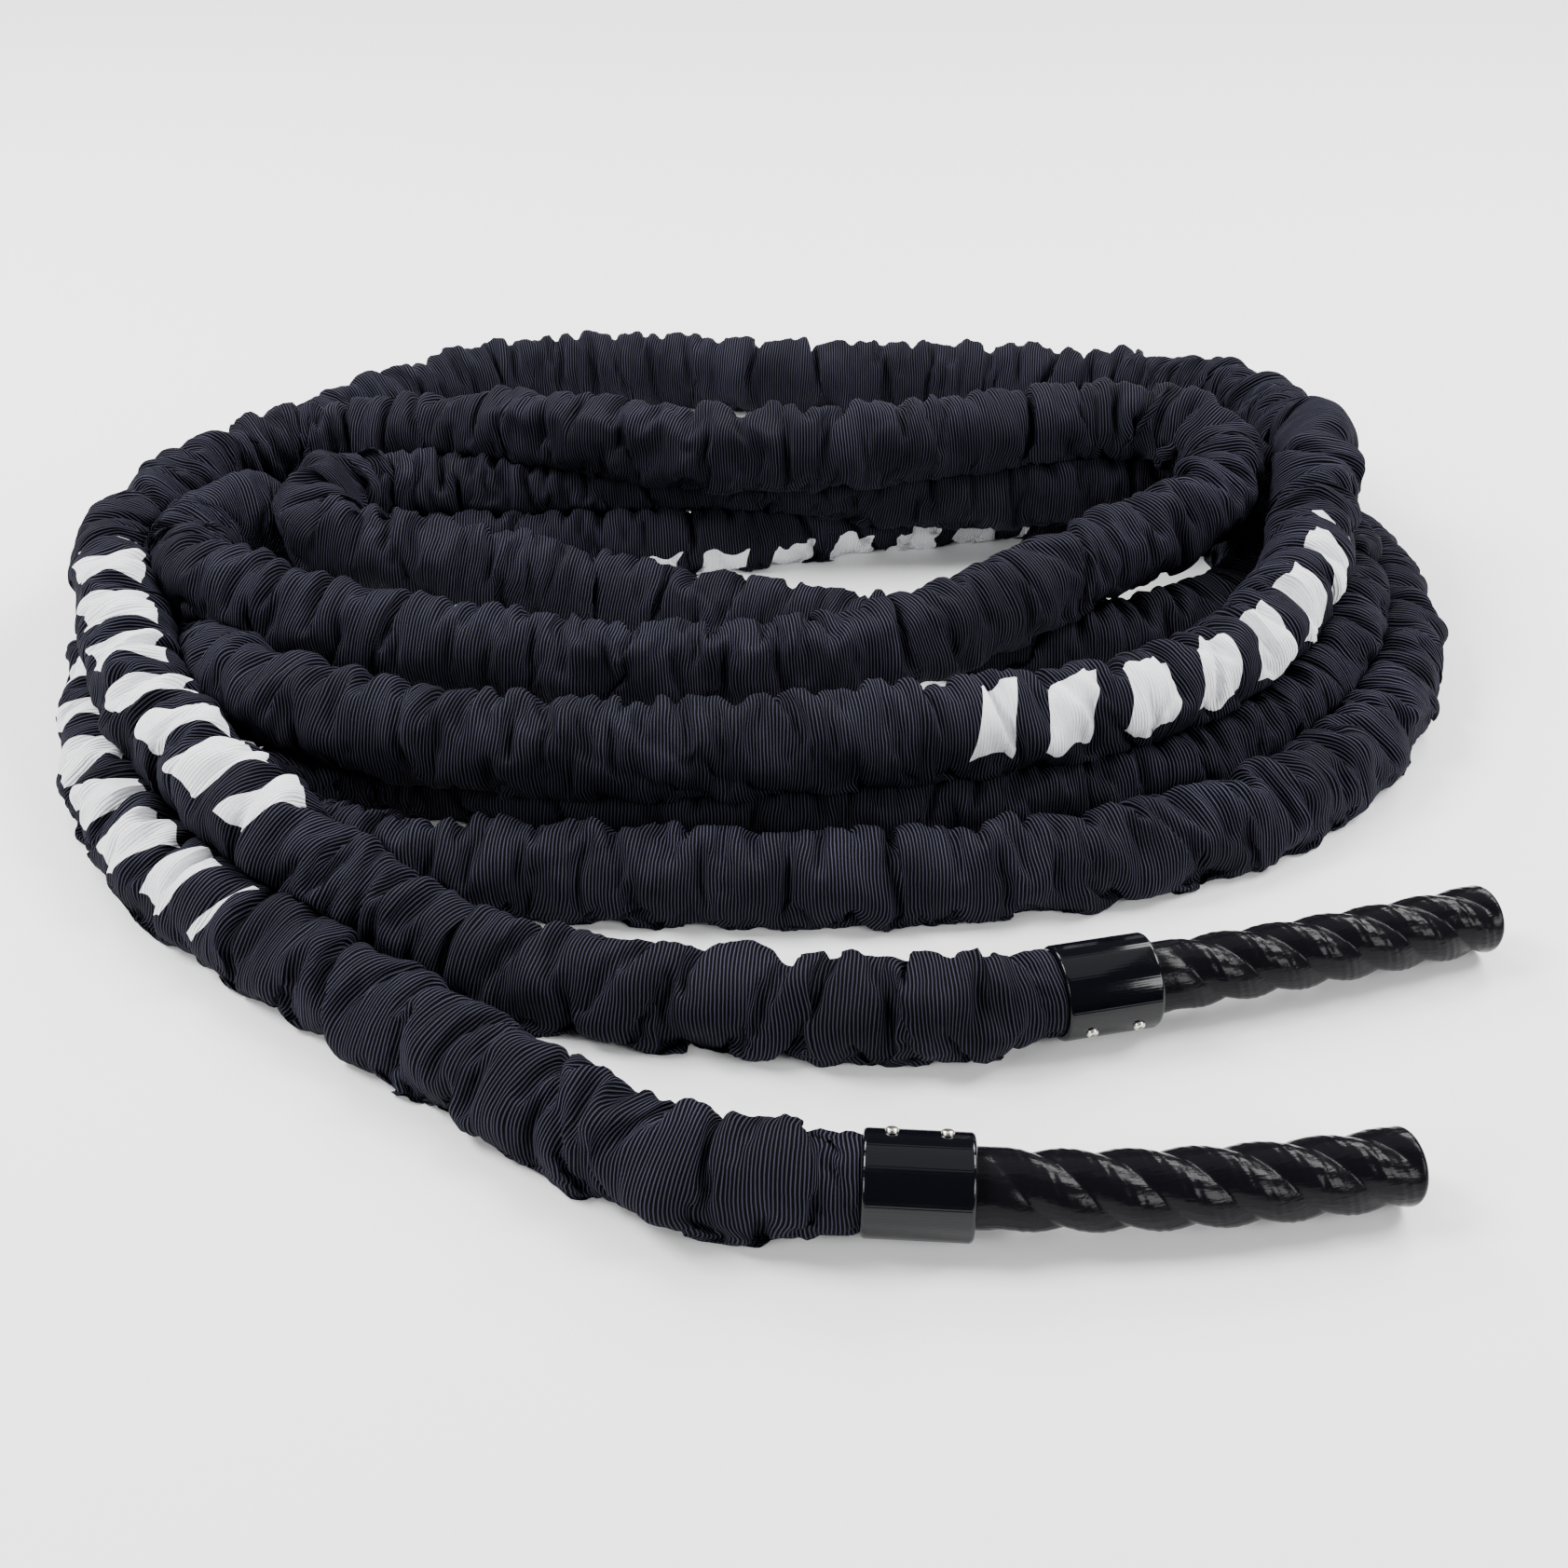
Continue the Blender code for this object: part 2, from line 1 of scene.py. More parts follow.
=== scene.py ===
# %% [markdown]
# A battle rope is a heavy training rope. This one wears a woven nylon sleeve from end to end,
# and it lies on the floor folded double and coiled in loose loops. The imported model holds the
# places and sizes. This lesson dresses it: the sleeve with its folds, the shrunk-on grips, the
# glossy collars and their screws.

# %% Load the frame
import math
import bpy
import numpy as np
from mathutils import Matrix, Vector


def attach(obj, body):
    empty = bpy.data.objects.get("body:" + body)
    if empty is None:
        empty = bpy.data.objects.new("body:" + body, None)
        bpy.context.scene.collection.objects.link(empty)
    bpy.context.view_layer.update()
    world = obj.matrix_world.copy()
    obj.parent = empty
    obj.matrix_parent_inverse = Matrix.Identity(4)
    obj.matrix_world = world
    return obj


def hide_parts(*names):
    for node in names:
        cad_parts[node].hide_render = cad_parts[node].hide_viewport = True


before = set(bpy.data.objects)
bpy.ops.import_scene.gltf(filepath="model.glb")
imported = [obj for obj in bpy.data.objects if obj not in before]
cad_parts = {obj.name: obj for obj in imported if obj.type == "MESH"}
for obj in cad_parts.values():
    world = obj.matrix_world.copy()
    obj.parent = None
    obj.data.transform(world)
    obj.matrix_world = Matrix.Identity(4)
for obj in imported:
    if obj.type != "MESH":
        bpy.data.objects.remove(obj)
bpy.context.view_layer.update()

# %% [markdown]
# The camera comes first, because every later choice is judged through it. The photo looks down
# by 35 degrees from table height, so the near strands are larger than the far ones. The focal
# length is in pixels of the photo, and the sensor's width turns it into millimetres.

# %% The camera
photo_side = 1683
focal_pixels = 1923.7
look_down = math.radians(35)
camera_place = (0.0221, -1.1456, 0.71125)

camera_data = bpy.data.cameras.new("camera")
camera_data.sensor_width = 36
camera_data.lens = camera_data.sensor_width * focal_pixels / photo_side
camera = bpy.data.objects.new("camera", camera_data)
camera.location = camera_place
camera.rotation_euler = (math.pi / 2 - look_down, 0, 0)
bpy.context.scene.collection.objects.link(camera)
bpy.context.scene.camera = camera
print("lens", round(camera_data.lens, 2), "mm")

# %% [markdown]
# Colours are kept as sRGB hex values, as a picker shows them, and one function turns them to
# the linear values that shaders use. A second small function adds a shader node, gives it its
# settings and its input values, and links an output where one is given as the value. A third
# starts a material.


# %% Helpers for materials
def linear(hex_code):
    """An sRGB hex colour as linear RGBA."""
    parts = [int(hex_code[i:i + 2], 16) / 255 for i in (1, 3, 5)]
    return [c / 12.92 if c <= 0.04045 else ((c + 0.055) / 1.055) ** 2.4 for c in parts] + [1]


def add(tree, kind, values=(), **settings):
    """Adds a node with its settings; values maps an input to a number or to an output."""
    node = tree.nodes.new("ShaderNode" + kind)
    for name, setting in settings.items():
        setattr(node, name, setting)
    for key, value in dict(values).items():
        if isinstance(value, bpy.types.NodeSocket):
            tree.links.new(value, node.inputs[key])
        else:
            node.inputs[key].default_value = value
    return node


def new_material(name):
    """A material with its tree and its Principled shader."""
    material = bpy.data.materials.new(name)
    material.use_nodes = True
    tree = material.node_tree
    return material, tree, tree.nodes["Principled BSDF"]


# %% [markdown]
# A product like this is shot on a white sweep with soft lights all round. A glossy collar
# mirrors what is straight above it and ahead of it. So the strong lights stand to the left and
# to the right, with only a weak one overhead: the collars stay dark, with small glints on their
# rims, and light from the sides brings out the folds. The floor is a stage, so it isn't part of
# the rope. It is matte white paper, which takes soft shadows and mirrors nothing. It ends where
# the light falls off. The backdrop beyond is as pale as the floor to the camera, but it gives
# the rope little light.

# %% The floor and the lights
floor_radius = 3.4
bpy.ops.object.select_all(action="DESELECT")
bpy.ops.mesh.primitive_circle_add(vertices=96, radius=floor_radius, fill_type="NGON", location=(0, 0.3, 0))
floor = bpy.context.object
floor.name = "floor"
paper, _, paper_shader = new_material("matte_white_paper")
paper_shader.inputs["Base Color"].default_value = linear("#FCFCFC")
paper_shader.inputs["Roughness"].default_value = 0.9
paper_shader.inputs["Specular IOR Level"].default_value = 0.1
floor.data.materials.append(paper)


def softbox(name, place, aim, size, watts):
    """A rectangular soft light that faces a point."""
    light = bpy.data.lights.new(name, "AREA")
    light.shape = "RECTANGLE"
    light.size, light.size_y = size
    light.energy = watts
    holder = bpy.data.objects.new(name, light)
    holder.location = place
    holder.rotation_euler = (Vector(aim) - Vector(place)).to_track_quat("-Z", "Y").to_euler()
    bpy.context.scene.collection.objects.link(holder)


softbox("left_softbox", (-2.0, 0.1, 2.2), (0, 0, 0), (1.1, 1.1), watts=135)
softbox("right_softbox", (2.0, 0.3, 2.2), (0, 0, 0), (1.1, 1.1), watts=100)
softbox("back_left_softbox", (-2.0, 2.6, 2.5), (0, 0.6, 0), (1.4, 1.4), watts=130)
softbox("back_right_softbox", (2.0, 2.6, 2.5), (0, 0.6, 0), (1.4, 1.4), watts=130)
softbox("front_left_softbox", (-2.2, -1.8, 1.3), (0, 0, 0), (1.2, 1.0), watts=45)
softbox("front_right_softbox", (2.2, -1.8, 1.3), (0, 0, 0), (1.2, 1.0), watts=58)
softbox("ceiling", (0, 0.5, 2.7), (0, 0.5, 0), (2.6, 3.2), watts=26)
backdrop_light, backdrop_seen = 0.13, 2.3
world = bpy.data.worlds.new("studio")
world.use_nodes = True
world.node_tree.nodes["Background"].inputs["Color"].default_value = linear("#F2F4F8")
seen = add(world.node_tree, "LightPath")
backdrop = add(world.node_tree, "Math", {
    0: seen.outputs["Is Camera Ray"], 1: backdrop_seen - backdrop_light, 2: backdrop_light},
    operation="MULTIPLY_ADD")
world.node_tree.links.new(backdrop.outputs[0], world.node_tree.nodes["Background"].inputs["Strength"])
bpy.context.scene.world = world
print(len(bpy.data.lights), "lights over a floor", 2 * floor_radius, "m across")

# %% [markdown]
# The rope's middle follows a given route: five loops of a rope that was folded double.
# A smooth curve runs through the places. Two strands can't come nearer than the rope is thick,
# so a spacing rule then draws them apart where they would meet, and keeps them off the floor.

# %% The sizes that the route needs
sleeve_diameter = 0.048
strand_spacing = sleeve_diameter + 0.0026
# The height of the rope's middle where it lies on the floor, and in a collar that lies there
low = 0.4 * sleeve_diameter
clamp = 0.0275
# The route is moved by this, so that the middle of the whole rope's box is above the origin
base_middle = (0.0019, -0.0014, 0)

# %% The route, from the front collar's mouth to the rear one's
front_tail = [
    (0.063, -0.521, clamp), (0.014, -0.5178, clamp), (-0.045, -0.499, 0.0225),
    (-0.105, -0.457, low), (-0.160, -0.418, low), (-0.225, -0.368, low),
    (-0.290, -0.320, low), (-0.350, -0.270, low), (-0.400, -0.205, low),
    (-0.435, -0.140, low), (-0.457, -0.065, low), (-0.476, 0.025, low),
]
outer_turn = [
    (-0.492, 0.120, low), (-0.492, 0.210, low), (-0.472, 0.300, low),
    (-0.425, 0.385, 0.022), (-0.345, 0.465, 0.028), (-0.240, 0.520, 0.036),
    (-0.110, 0.525, 0.040), (0.030, 0.510, 0.038), (0.170, 0.512, 0.036),
    (0.300, 0.490, 0.038), (0.385, 0.445, 0.050), (0.435, 0.380, 0.066),
    (0.448, 0.290, 0.082), (0.445, 0.190, 0.092), (0.430, 0.100, 0.092),
    (0.400, 0.010, 0.084), (0.350, -0.065, 0.076), (0.280, -0.123, 0.071),
    (0.170, -0.162, 0.070), (0.050, -0.182, 0.070), (-0.070, -0.190, 0.070),
    (-0.180, -0.178, 0.070), (-0.280, -0.147, 0.068), (-0.345, -0.100, 0.060),
    (-0.380, -0.045, 0.045), (-0.402, 0.025, 0.028),
]
second_turn = [
    (-0.415, 0.110, low), (-0.400, 0.195, low), (-0.355, 0.285, low),
    (-0.270, 0.345, low), (-0.140, 0.365, low), (0.030, 0.368, low),
    (0.190, 0.365, low), (0.325, 0.345, low), (0.430, 0.280, low),
    (0.492, 0.175, low), (0.495, 0.070, low), (0.470, -0.030, low),
    (0.418, -0.120, low), (0.345, -0.188, low), (0.250, -0.232, low),
    (0.110, -0.260, low), (-0.030, -0.261, low), (-0.150, -0.252, low),
    (-0.235, -0.246, low),
]
bight = [
    (-0.298, -0.224, low), (-0.322, -0.180, low), (-0.290, -0.140, low),
]
inner_turn = [
    (-0.215, -0.146, low), (-0.090, -0.176, low), (0.050, -0.183, low),
    (0.170, -0.171, low), (0.275, -0.145, 0.022), (0.362, -0.095, 0.030),
    (0.420, -0.030, 0.040), (0.452, 0.065, 0.046), (0.450, 0.148, 0.054),
    (0.408, 0.205, 0.066), (0.330, 0.222, 0.072), (0.240, 0.218, 0.068),
    (0.120, 0.212, 0.066), (0.000, 0.218, 0.064), (-0.110, 0.222, 0.060),
    (-0.230, 0.224, 0.056), (-0.322, 0.205, 0.058), (-0.362, 0.160, 0.064),
    (-0.332, 0.108, 0.068), (-0.255, 0.094, 0.060), (-0.150, 0.096, 0.034),
    (-0.060, 0.080, 0.020),
]
low_turn = [
    (0.030, 0.058, low), (0.120, 0.033, low), (0.200, 0.026, low),
    (0.290, 0.040, low), (0.362, 0.073, low), (0.407, 0.130, low),
    (0.412, 0.195, low), (0.362, 0.247, low), (0.270, 0.259, low),
    (0.170, 0.252, low), (0.060, 0.225, low), (-0.040, 0.200, low),
    (-0.150, 0.188, low), (-0.250, 0.180, low), (-0.350, 0.172, 0.028),
    (-0.420, 0.148, 0.044), (-0.446, 0.098, 0.060), (-0.428, 0.044, 0.070),
    (-0.375, 0.004, 0.072),
]
top_turn = [
    (-0.290, -0.032, 0.066), (-0.200, -0.054, 0.062), (-0.100, -0.068, 0.058),
    (0.000, -0.068, 0.058), (0.090, -0.050, 0.062), (0.170, -0.004, 0.068),
    (0.250, 0.052, 0.076), (0.322, 0.096, 0.088), (0.370, 0.146, 0.096),
    (0.370, 0.200, 0.102), (0.312, 0.226, 0.105), (0.230, 0.220, 0.105),
    (0.130, 0.200, 0.105), (0.020, 0.188, 0.105), (-0.080, 0.202, 0.103),
    (-0.180, 0.235, 0.094), (-0.280, 0.278, 0.080), (-0.370, 0.295, 0.068),
    (-0.440, 0.262, 0.062),
]
rear_tail = [
    (-0.470, 0.180, 0.066), (-0.477, 0.090, 0.068), (-0.460, 0.000, 0.064),
    (-0.426, -0.083, 0.060), (-0.380, -0.159, 0.060), (-0.322, -0.224, 0.056),
    (-0.255, -0.279, 0.040), (-0.185, -0.328, 0.023), (-0.120, -0.354, low),
    (-0.050, -0.370, low), (0.020, -0.379, low), (0.080, -0.386, 0.0225),
    (0.1297, -0.3899, clamp), (0.1775, -0.379, clamp),
]
coil_route = outer_turn + second_turn + bight + inner_turn + low_turn + top_turn
places = np.array(front_tail + coil_route + rear_tail) - base_middle
print(len(places), "places")


# %% The smooth curve through the places
def lengths(path):
    """The length of the path up to each of its points."""
    return np.r_[0, np.cumsum(np.linalg.norm(np.diff(path, axis=0), axis=1))]


def read_at(path, along):
    """The places on the path at the given lengths."""
    return np.column_stack([np.interp(along, lengths(path), path[:, k]) for k in range(3)])


def smooth_through(places, step, readings=12):
    """A smooth curve through the places, read evenly, with the length at each place."""
    p = np.vstack([2 * places[0] - places[1], places, 2 * places[-1] - places[-2]])
    curve = []
    for i in range(1, len(p) - 2):
        a, b, c, d = p[i - 1:i + 3]
        knots = np.cumsum([0] + [np.linalg.norm(q - r) ** 0.5 for q, r in ((b, a), (c, b), (d, c))])
        for t in np.linspace(knots[1], knots[2], readings, endpoint=False):
            ab = a + (b - a) * (t - knots[0]) / (knots[1] - knots[0])
            bc = b + (c - b) * (t - knots[1]) / (knots[2] - knots[1])
            cd = c + (d - c) * (t - knots[2]) / (knots[3] - knots[2])
            first = ab + (bc - ab) * (t - knots[0]) / (knots[2] - knots[0])
            second = bc + (cd - bc) * (t - knots[1]) / (knots[3] - knots[1])
            curve.append(first + (second - first) * (t - knots[1]) / (knots[2] - knots[1]))
    curve = np.array(curve + [p[-2]])
    along = lengths(curve)
    count = round(along[-1] / step)
    return read_at(curve, np.linspace(0, along[-1], count + 1)), along[::readings]


# %% The spacing rule
def near_pairs(path, reach, apart):
    """The pairs of points nearer than reach, and more than so many points apart."""
    distance = np.linalg.norm(path[:, None, :] - path[None, :, :], axis=2)
    i, j = np.where(distance < reach)
    far_along = (j - i) > apart
    return i[far_along], j[far_along]


spacing_rounds = 200
rounds_between_looks = 20
points_apart = 10
draw_home = 0.02
smoothing = 0.12
held_points = 4


def keep_apart(path):
    """The path with its strands a spacing apart, and none below the floor."""
    home = path.copy()
    count = len(path)
    for step in range(spacing_rounds):
        if step % rounds_between_looks == 0:
            i, j = near_pairs(path, strand_spacing * 1.3, points_apart)
        path = path + draw_home * (home - path)
        for _ in range(4):
            bend = np.zeros_like(path)
            bend[1:-1] = path[:-2] + path[2:] - 2 * path[1:-1]
            path[2:-2] -= smoothing * (bend[1:-3] + bend[3:-1] - 2 * bend[2:-2])
        for _ in range(2):
            between = path[i] - path[j]
            distance = np.linalg.norm(between, axis=1)
            short = np.maximum(strand_spacing - distance, 0) / 2
            pushes = np.bincount(i, short > 0, count) + np.bincount(j, short > 0, count)
            push = np.zeros_like(path)
            np.add.at(push, i, between / distance[:, None] * short[:, None])
            np.add.at(push, j, -between / distance[:, None] * short[:, None])
            path += push / np.maximum(pushes, 1)[:, None]
            path[:, 2] = np.maximum(path[:, 2], low)
        path[:held_points] = home[:held_points]
        path[-held_points:] = home[-held_points:]
    return path


route_step = 0.012
route, at_place = smooth_through(places, route_step)
route = keep_apart(route)
whole = lengths(route)[-1]
at_place = at_place * whole / at_place[-1]
print("sleeve between the collars", round(whole, 3), "m")

# %% [markdown]
# Every ring of the sleeve needs its own directions: ahead along the rope, sideways, and up. The
# rope never stands on end, so the sideways direction can always be level, and the pattern
# doesn't twist. The sleeve also runs a little way into each collar, so the line is drawn on.

# %% Rings along the rope
ring_step = 0.004
sides = 48
into_collar = 3
run_in = into_collar * ring_step
line, _ = smooth_through(route, ring_step)
steps_in = np.arange(into_collar, 0, -1)[:, None]
centres = np.vstack([line[0] + (line[0] - line[1]) * steps_in, line,
                     line[-1] + (line[-1] - line[-2]) * steps_in[::-1]])
ring_length = lengths(centres)
ahead = np.gradient(centres, ring_length, axis=0)
ahead /= np.linalg.norm(ahead, axis=1)[:, None]
aside = np.cross((0, 0, 1), ahead)
aside /= np.linalg.norm(aside, axis=1)[:, None]
upward = np.cross(ahead, aside)
around = -math.pi / 2 + math.tau * np.arange(sides) / sides
ring_count = len(centres)
print(ring_count, "rings of", sides)

# %% [markdown]
# A loose sleeve on a rope gathers into pillows, with sharp creases where one pillow tucks under
# the next. Short creases are drawn first, so that the folds know where to start. Each runs part
# of the way round, a little slanted. Near the collars the sleeve was pushed together, so there
# they lie closer. One more crease goes all the way round at each collar's mouth.

# %% First creases
sleeve_radius = 0.0275
mouth_fold = run_in + 0.018
gathered_length, gathered_fade = 0.62, 0.25
crease_bow = 0.0016
seed = np.random.default_rng(38)
from_mouth = np.minimum(ring_length, ring_length[-1] - ring_length)
tail_share = np.clip((gathered_length - from_mouth) / gathered_fade, 0, 1)


def crease(place, angle, reach, slant, depth, width):
    """The depth of one crease in every ring near it, and those rings."""
    span = 4 * width + abs(slant) * sleeve_radius * math.pi
    rows = slice(*np.searchsorted(ring_length, (place - span, place + span)))
    turn = (around - angle + math.pi) % math.tau - math.pi
    bow = place + slant * sleeve_radius * turn + crease_bow * np.sin(3 * turn + angle)
    across = np.abs(ring_length[rows, None] - bow[None, :]) / width
    fade = np.cos(np.clip(np.abs(turn) / reach, 0, 1) * math.pi / 2)
    return rows, depth * np.exp(-across ** 1.1) * fade


creases = np.zeros((ring_count, sides))
place, count = 0.0, 0
while place < ring_length[-1]:
    loose = tail_share[min(np.searchsorted(ring_length, place), ring_count - 1)]
    rows, depth = crease(place, angle=seed.uniform(-math.pi, math.pi),
                         reach=seed.uniform(1.3, 2.8) * (0.72 + 0.28 * loose),
                         slant=seed.normal(0, 0.5) * (1.9 - 0.9 * loose),
                         depth=seed.uniform(0.003, 0.006), width=seed.uniform(0.004, 0.008))
    creases[rows] = np.maximum(creases[rows], depth)
    place += seed.uniform(0.015, 0.038) * (1.5 - 0.62 * loose)
    count += 1
for place, slant in ((mouth_fold, 0.35), (ring_length[-1] - mouth_fold, 0.2)):
    rows, depth = crease(place, angle=math.pi / 2, reach=4.0, slant=slant, depth=0.006, width=0.004)
    creases[rows] = np.maximum(creases[rows], depth)
print(count, "creases")

# %% [markdown]
# The folds themselves come from a small cloth simulation, written in numpy because the whole
# sleeve is one long grid. The cloth is longer than the rope under it, so it has to buckle. In
# each round every thread pulls its two ends to its own length, the cloth resists sharp folds,
# a little air puffs it out, and its weight draws it down. It is then kept outside the rope, off
# the floor, and on its own side of the plane half way to each near strand, where two strands
# press each other flat. An outer limit stands in for the sleeve's own width, and it is drawn in
# at the creases, so that they stay sharp.


# %% The planes between near strands
same_strand = 0.13
out_of_reach = 9
plane_gap = 0.0003


def planes_between(count, reach):
    """For every ring, the ways to its nearest strands and the room up to the planes."""
    thin, thin_length = centres[::4], ring_length[::4]
    distance = np.linalg.norm(thin[None, :, :] - centres[:, None, :], axis=2)
    distance[np.abs(thin_length[None, :] - ring_length[:, None]) < same_strand] = out_of_reach
    planes = []
    for _ in range(count):
        nearest = distance.argmin(axis=1)
        least = distance.min(axis=1)
        way = (thin[nearest] - centres) / least[:, None]
        room = np.where(least < reach, least / 2 - plane_gap, 1)
        planes.append((way.astype(np.float32), room.astype(np.float32)))
        same = np.abs(thin_length[None, :] - thin_length[nearest][:, None]) < same_strand
        distance[same] = out_of_reach
    return planes


planes = planes_between(count=4, reach=0.072)
print("rings that touch a strand:", int((planes[0][1] < 1).sum()))


# %% The cloth's rules
# In each round a thread draws each of its ends by this share of its error in length
thread_share = 0.24
slanted_share = 0.03
# The cloth resists a fold: two threads in line push back where their ends come nearer than this
# share of their length, along the rope and round it
straight_along, straight_round = 0.97, 0.985
fold_share_along, fold_share_round = 0.10, 0.04
lowest = 0.0004


def pull(near, far, rest, share, only_push=False):
    """How far each thread between two rows of points draws its near end."""
    thread = far - near
    stretch = share * (1 - rest / np.sqrt((thread * thread).sum(axis=2)))
    if only_push:
        stretch = np.minimum(stretch, 0)
    return thread * stretch[:, :, None]


def settle(points, rest_along, rest_round, rounds):
    """Lets the cloth settle for some rounds, and gives its points."""
    points = points.astype(np.float32)
    held = points.copy()
    middle = centres[:, None, :].astype(np.float32)
    forward = ahead[:, None, :].astype(np.float32)
    along = rest_along[:, None].astype(np.float32)
    beside_rest = rest_round[:, None].astype(np.float32)
    slanted = np.sqrt(along ** 2 + beside_rest[:-1] ** 2)
    for _ in range(rounds):
        move = np.zeros_like(points)
        beside = np.roll(points, -1, axis=1)
        for rest, share, a, b, da, db in (
                (along, thread_share, points[:-1], points[1:], 0, 0),
                (slanted, slanted_share, points[:-1], beside[1:], 0, 1),
                (slanted, slanted_share, beside[:-1], points[1:], 1, 0)):
            drawn = pull(a, b, rest, share)
            move[:-1] += np.roll(drawn, da, axis=1)
            move[1:] -= np.roll(drawn, db, axis=1)
        drawn = pull(points, beside, beside_rest, thread_share)
        move += drawn - np.roll(drawn, 1, axis=1)
        drawn = pull(points[:-2], points[2:], (along[1:] + along[:-1]) * straight_along,
                     fold_share_along, True)
        move[:-2] += drawn
        move[2:] -= drawn
        drawn = pull(points, np.roll(points, -2, axis=1), beside_rest * (2 * straight_round),
                     fold_share_round, True)
        move += drawn - np.roll(drawn, 2, axis=1)
        points += move
        points[:, :, 2] -= weight
        outward = points - middle
        outward -= (outward * forward).sum(axis=2)[:, :, None] * forward
        radius = np.sqrt((outward * outward).sum(axis=2))
        wanted = np.clip(radius + air, core_reach, cloth_reach)
        points += outward * (wanted / radius - 1)[:, :, None]
        for way, room in planes:
            over = ((points - middle) * way[:, None, :]).sum(axis=2) - room[:, None]
            points -= np.maximum(over, 0)[:, :, None] * way[:, None, :]
        points[:, :, 2] = np.maximum(points[:, :, 2], lowest)
        points[:into_collar + 1] = held[:into_collar + 1]
        points[-into_collar - 1:] = held[-into_collar - 1:]
    return points


# %% [markdown]
# In two places the sleeve has more cloth round the rope than it needs, and stands up in a ridge
# along it. In four others it lies fuller on one side, and closes the gap to the next strand.
# Both are given to the cloth as changes of its outer limit, so that its folds run into them.

# %% Ridges and swells
ridge_height, hollow_depth, swell_height = 0.0034, 0.0026, 0.0036
patch_fade = 0.04


def sleeve_patch(first, last, angle):
    """Each ring's share in a patch of the sleeve, and each side's turn from the patch's angle."""
    inside = ring_length - run_in
    share = np.clip((inside - first) / patch_fade, 0, 1) * np.clip((last - inside) / patch_fade, 0, 1)
    return share[:, None], (around - angle + math.pi) % math.tau - math.pi


# Each one: its first and last length from the front collar, and its angle round the rope
ridges = [(9.92, 10.22, math.radians(120)), (10.90, 11.18, math.radians(50))]
ridge = np.zeros((ring_count, sides))
fuller = np.ones(ring_count)
for first, last, angle in ridges:
    share, turn = sleeve_patch(first, last, angle)
    hollows = np.exp(-((np.abs(turn) - 0.62) / 0.28) ** 2)
    ridge += share * (ridge_height * np.exp(-(turn / 0.2) ** 2) - hollow_depth * hollows)
    fuller += 0.05 * share[:, 0]
swells = [(9.66, 9.95, math.radians(58)), (1.45, 1.95, math.radians(248)),
          (10.10, 10.32, math.radians(233)), (2.80, 3.00, math.radians(124))]
swell = np.zeros((ring_count, sides))
for first, last, angle in swells:
    share, turn = sleeve_patch(first, last, angle)
    swell += share * swell_height * np.exp(-(turn / 0.6) ** 2)
print(len(ridges), "ridges and", len(swells), "swells")

# %% The cloth's outer limit
puffed_radius = 0.0306
outer_reach = 0.0320
tail_drawn_in = 0.0008
mouth_reach = 0.0268
reach_wave = 0.0006
hang = 0.0035
cloth_round = math.tau * puffed_radius
cloth_reach = outer_reach - tail_drawn_in * tail_share[:, None] + ridge + swell
for _ in range(24):
    waves, turns = math.tau / seed.uniform(0.03, 0.12), seed.integers(-4, 5)
    wave = waves * ring_length[:, None] + turns * around + seed.uniform(0, math.tau)
    cloth_reach += reach_wave * np.cos(wave)
# Where the rope is lifted off the floor, the sleeve hangs a little from it
raised = np.clip((centres[:, 2] - 0.026) / 0.01, 0, 1)
cloth_reach += hang * raised[:, None] * np.maximum(-np.sin(around), 0)
widening = 0.25 * np.maximum(from_mouth - mouth_fold, 0)
cloth_reach = np.minimum(cloth_reach, mouth_reach + widening[:, None])
held_share = 0.65 + 0.15 * tail_share[:, None]
cloth_reach = (cloth_reach - held_share * creases).astype(np.float32)
print("outer limit", (np.percentile(cloth_reach, [1, 50, 99]) * 1000).round(1), "mm from the middle")

# %% The cloth's length
# How much longer the cloth is than the rope: more on the tails, and enough to go round each bend
slack = 1.22 + 0.10 * tail_share
for _ in range(8):
    slack += 0.02 * np.cos(math.tau * ring_length / seed.uniform(0.15, 0.6) + seed.uniform(0, math.tau))
bending = np.linalg.norm(np.gradient(ahead, ring_length, axis=0), axis=1)
bending = np.convolve(bending, np.hanning(25) / np.hanning(25).sum(), "same")
slack = np.maximum(slack, 1.24 * (1 + 0.029 * bending))
rest_along = ring_step * (slack[1:] + slack[:-1]) / 2
print("cloth", round(rest_along.sum(), 2), "m long, on a rope of", round(ring_length[-1], 2), "m")

# %% Let the sleeve settle
air = np.float32(0.00008)
weight = np.float32(0.00003)
core_reach = 0.0222
inside_collar = 0.0236
radius = sleeve_radius - creases + seed.normal(0, 0.0002, creases.shape)
entry = np.clip((from_mouth - run_in) / 0.012, 0, 1)[:, None]
radius = inside_collar + (radius - inside_collar) * entry
directions = (np.cos(around)[None, :, None] * aside[:, None, :]
              + np.sin(around)[None, :, None] * upward[:, None, :])
cloth = settle(centres[:, None, :] + directions * radius[:, :, None],
               rest_along, cloth_round / sides * fuller, rounds=300)
reach = np.linalg.norm(cloth - centres[:, None, :], axis=2)
print("cloth reaches", (np.percentile(reach, [1, 50, 99]) * 1000).round(1), "mm from the middle")

# %% [markdown]
# The grid that settled is coarse, so that it could settle quickly. A smooth curve through its
# points gives half as many again each way, which rounds the folds. Small wrinkles are then added
# to the finer grid, and no point of it may stand further out than a loose sleeve reaches.


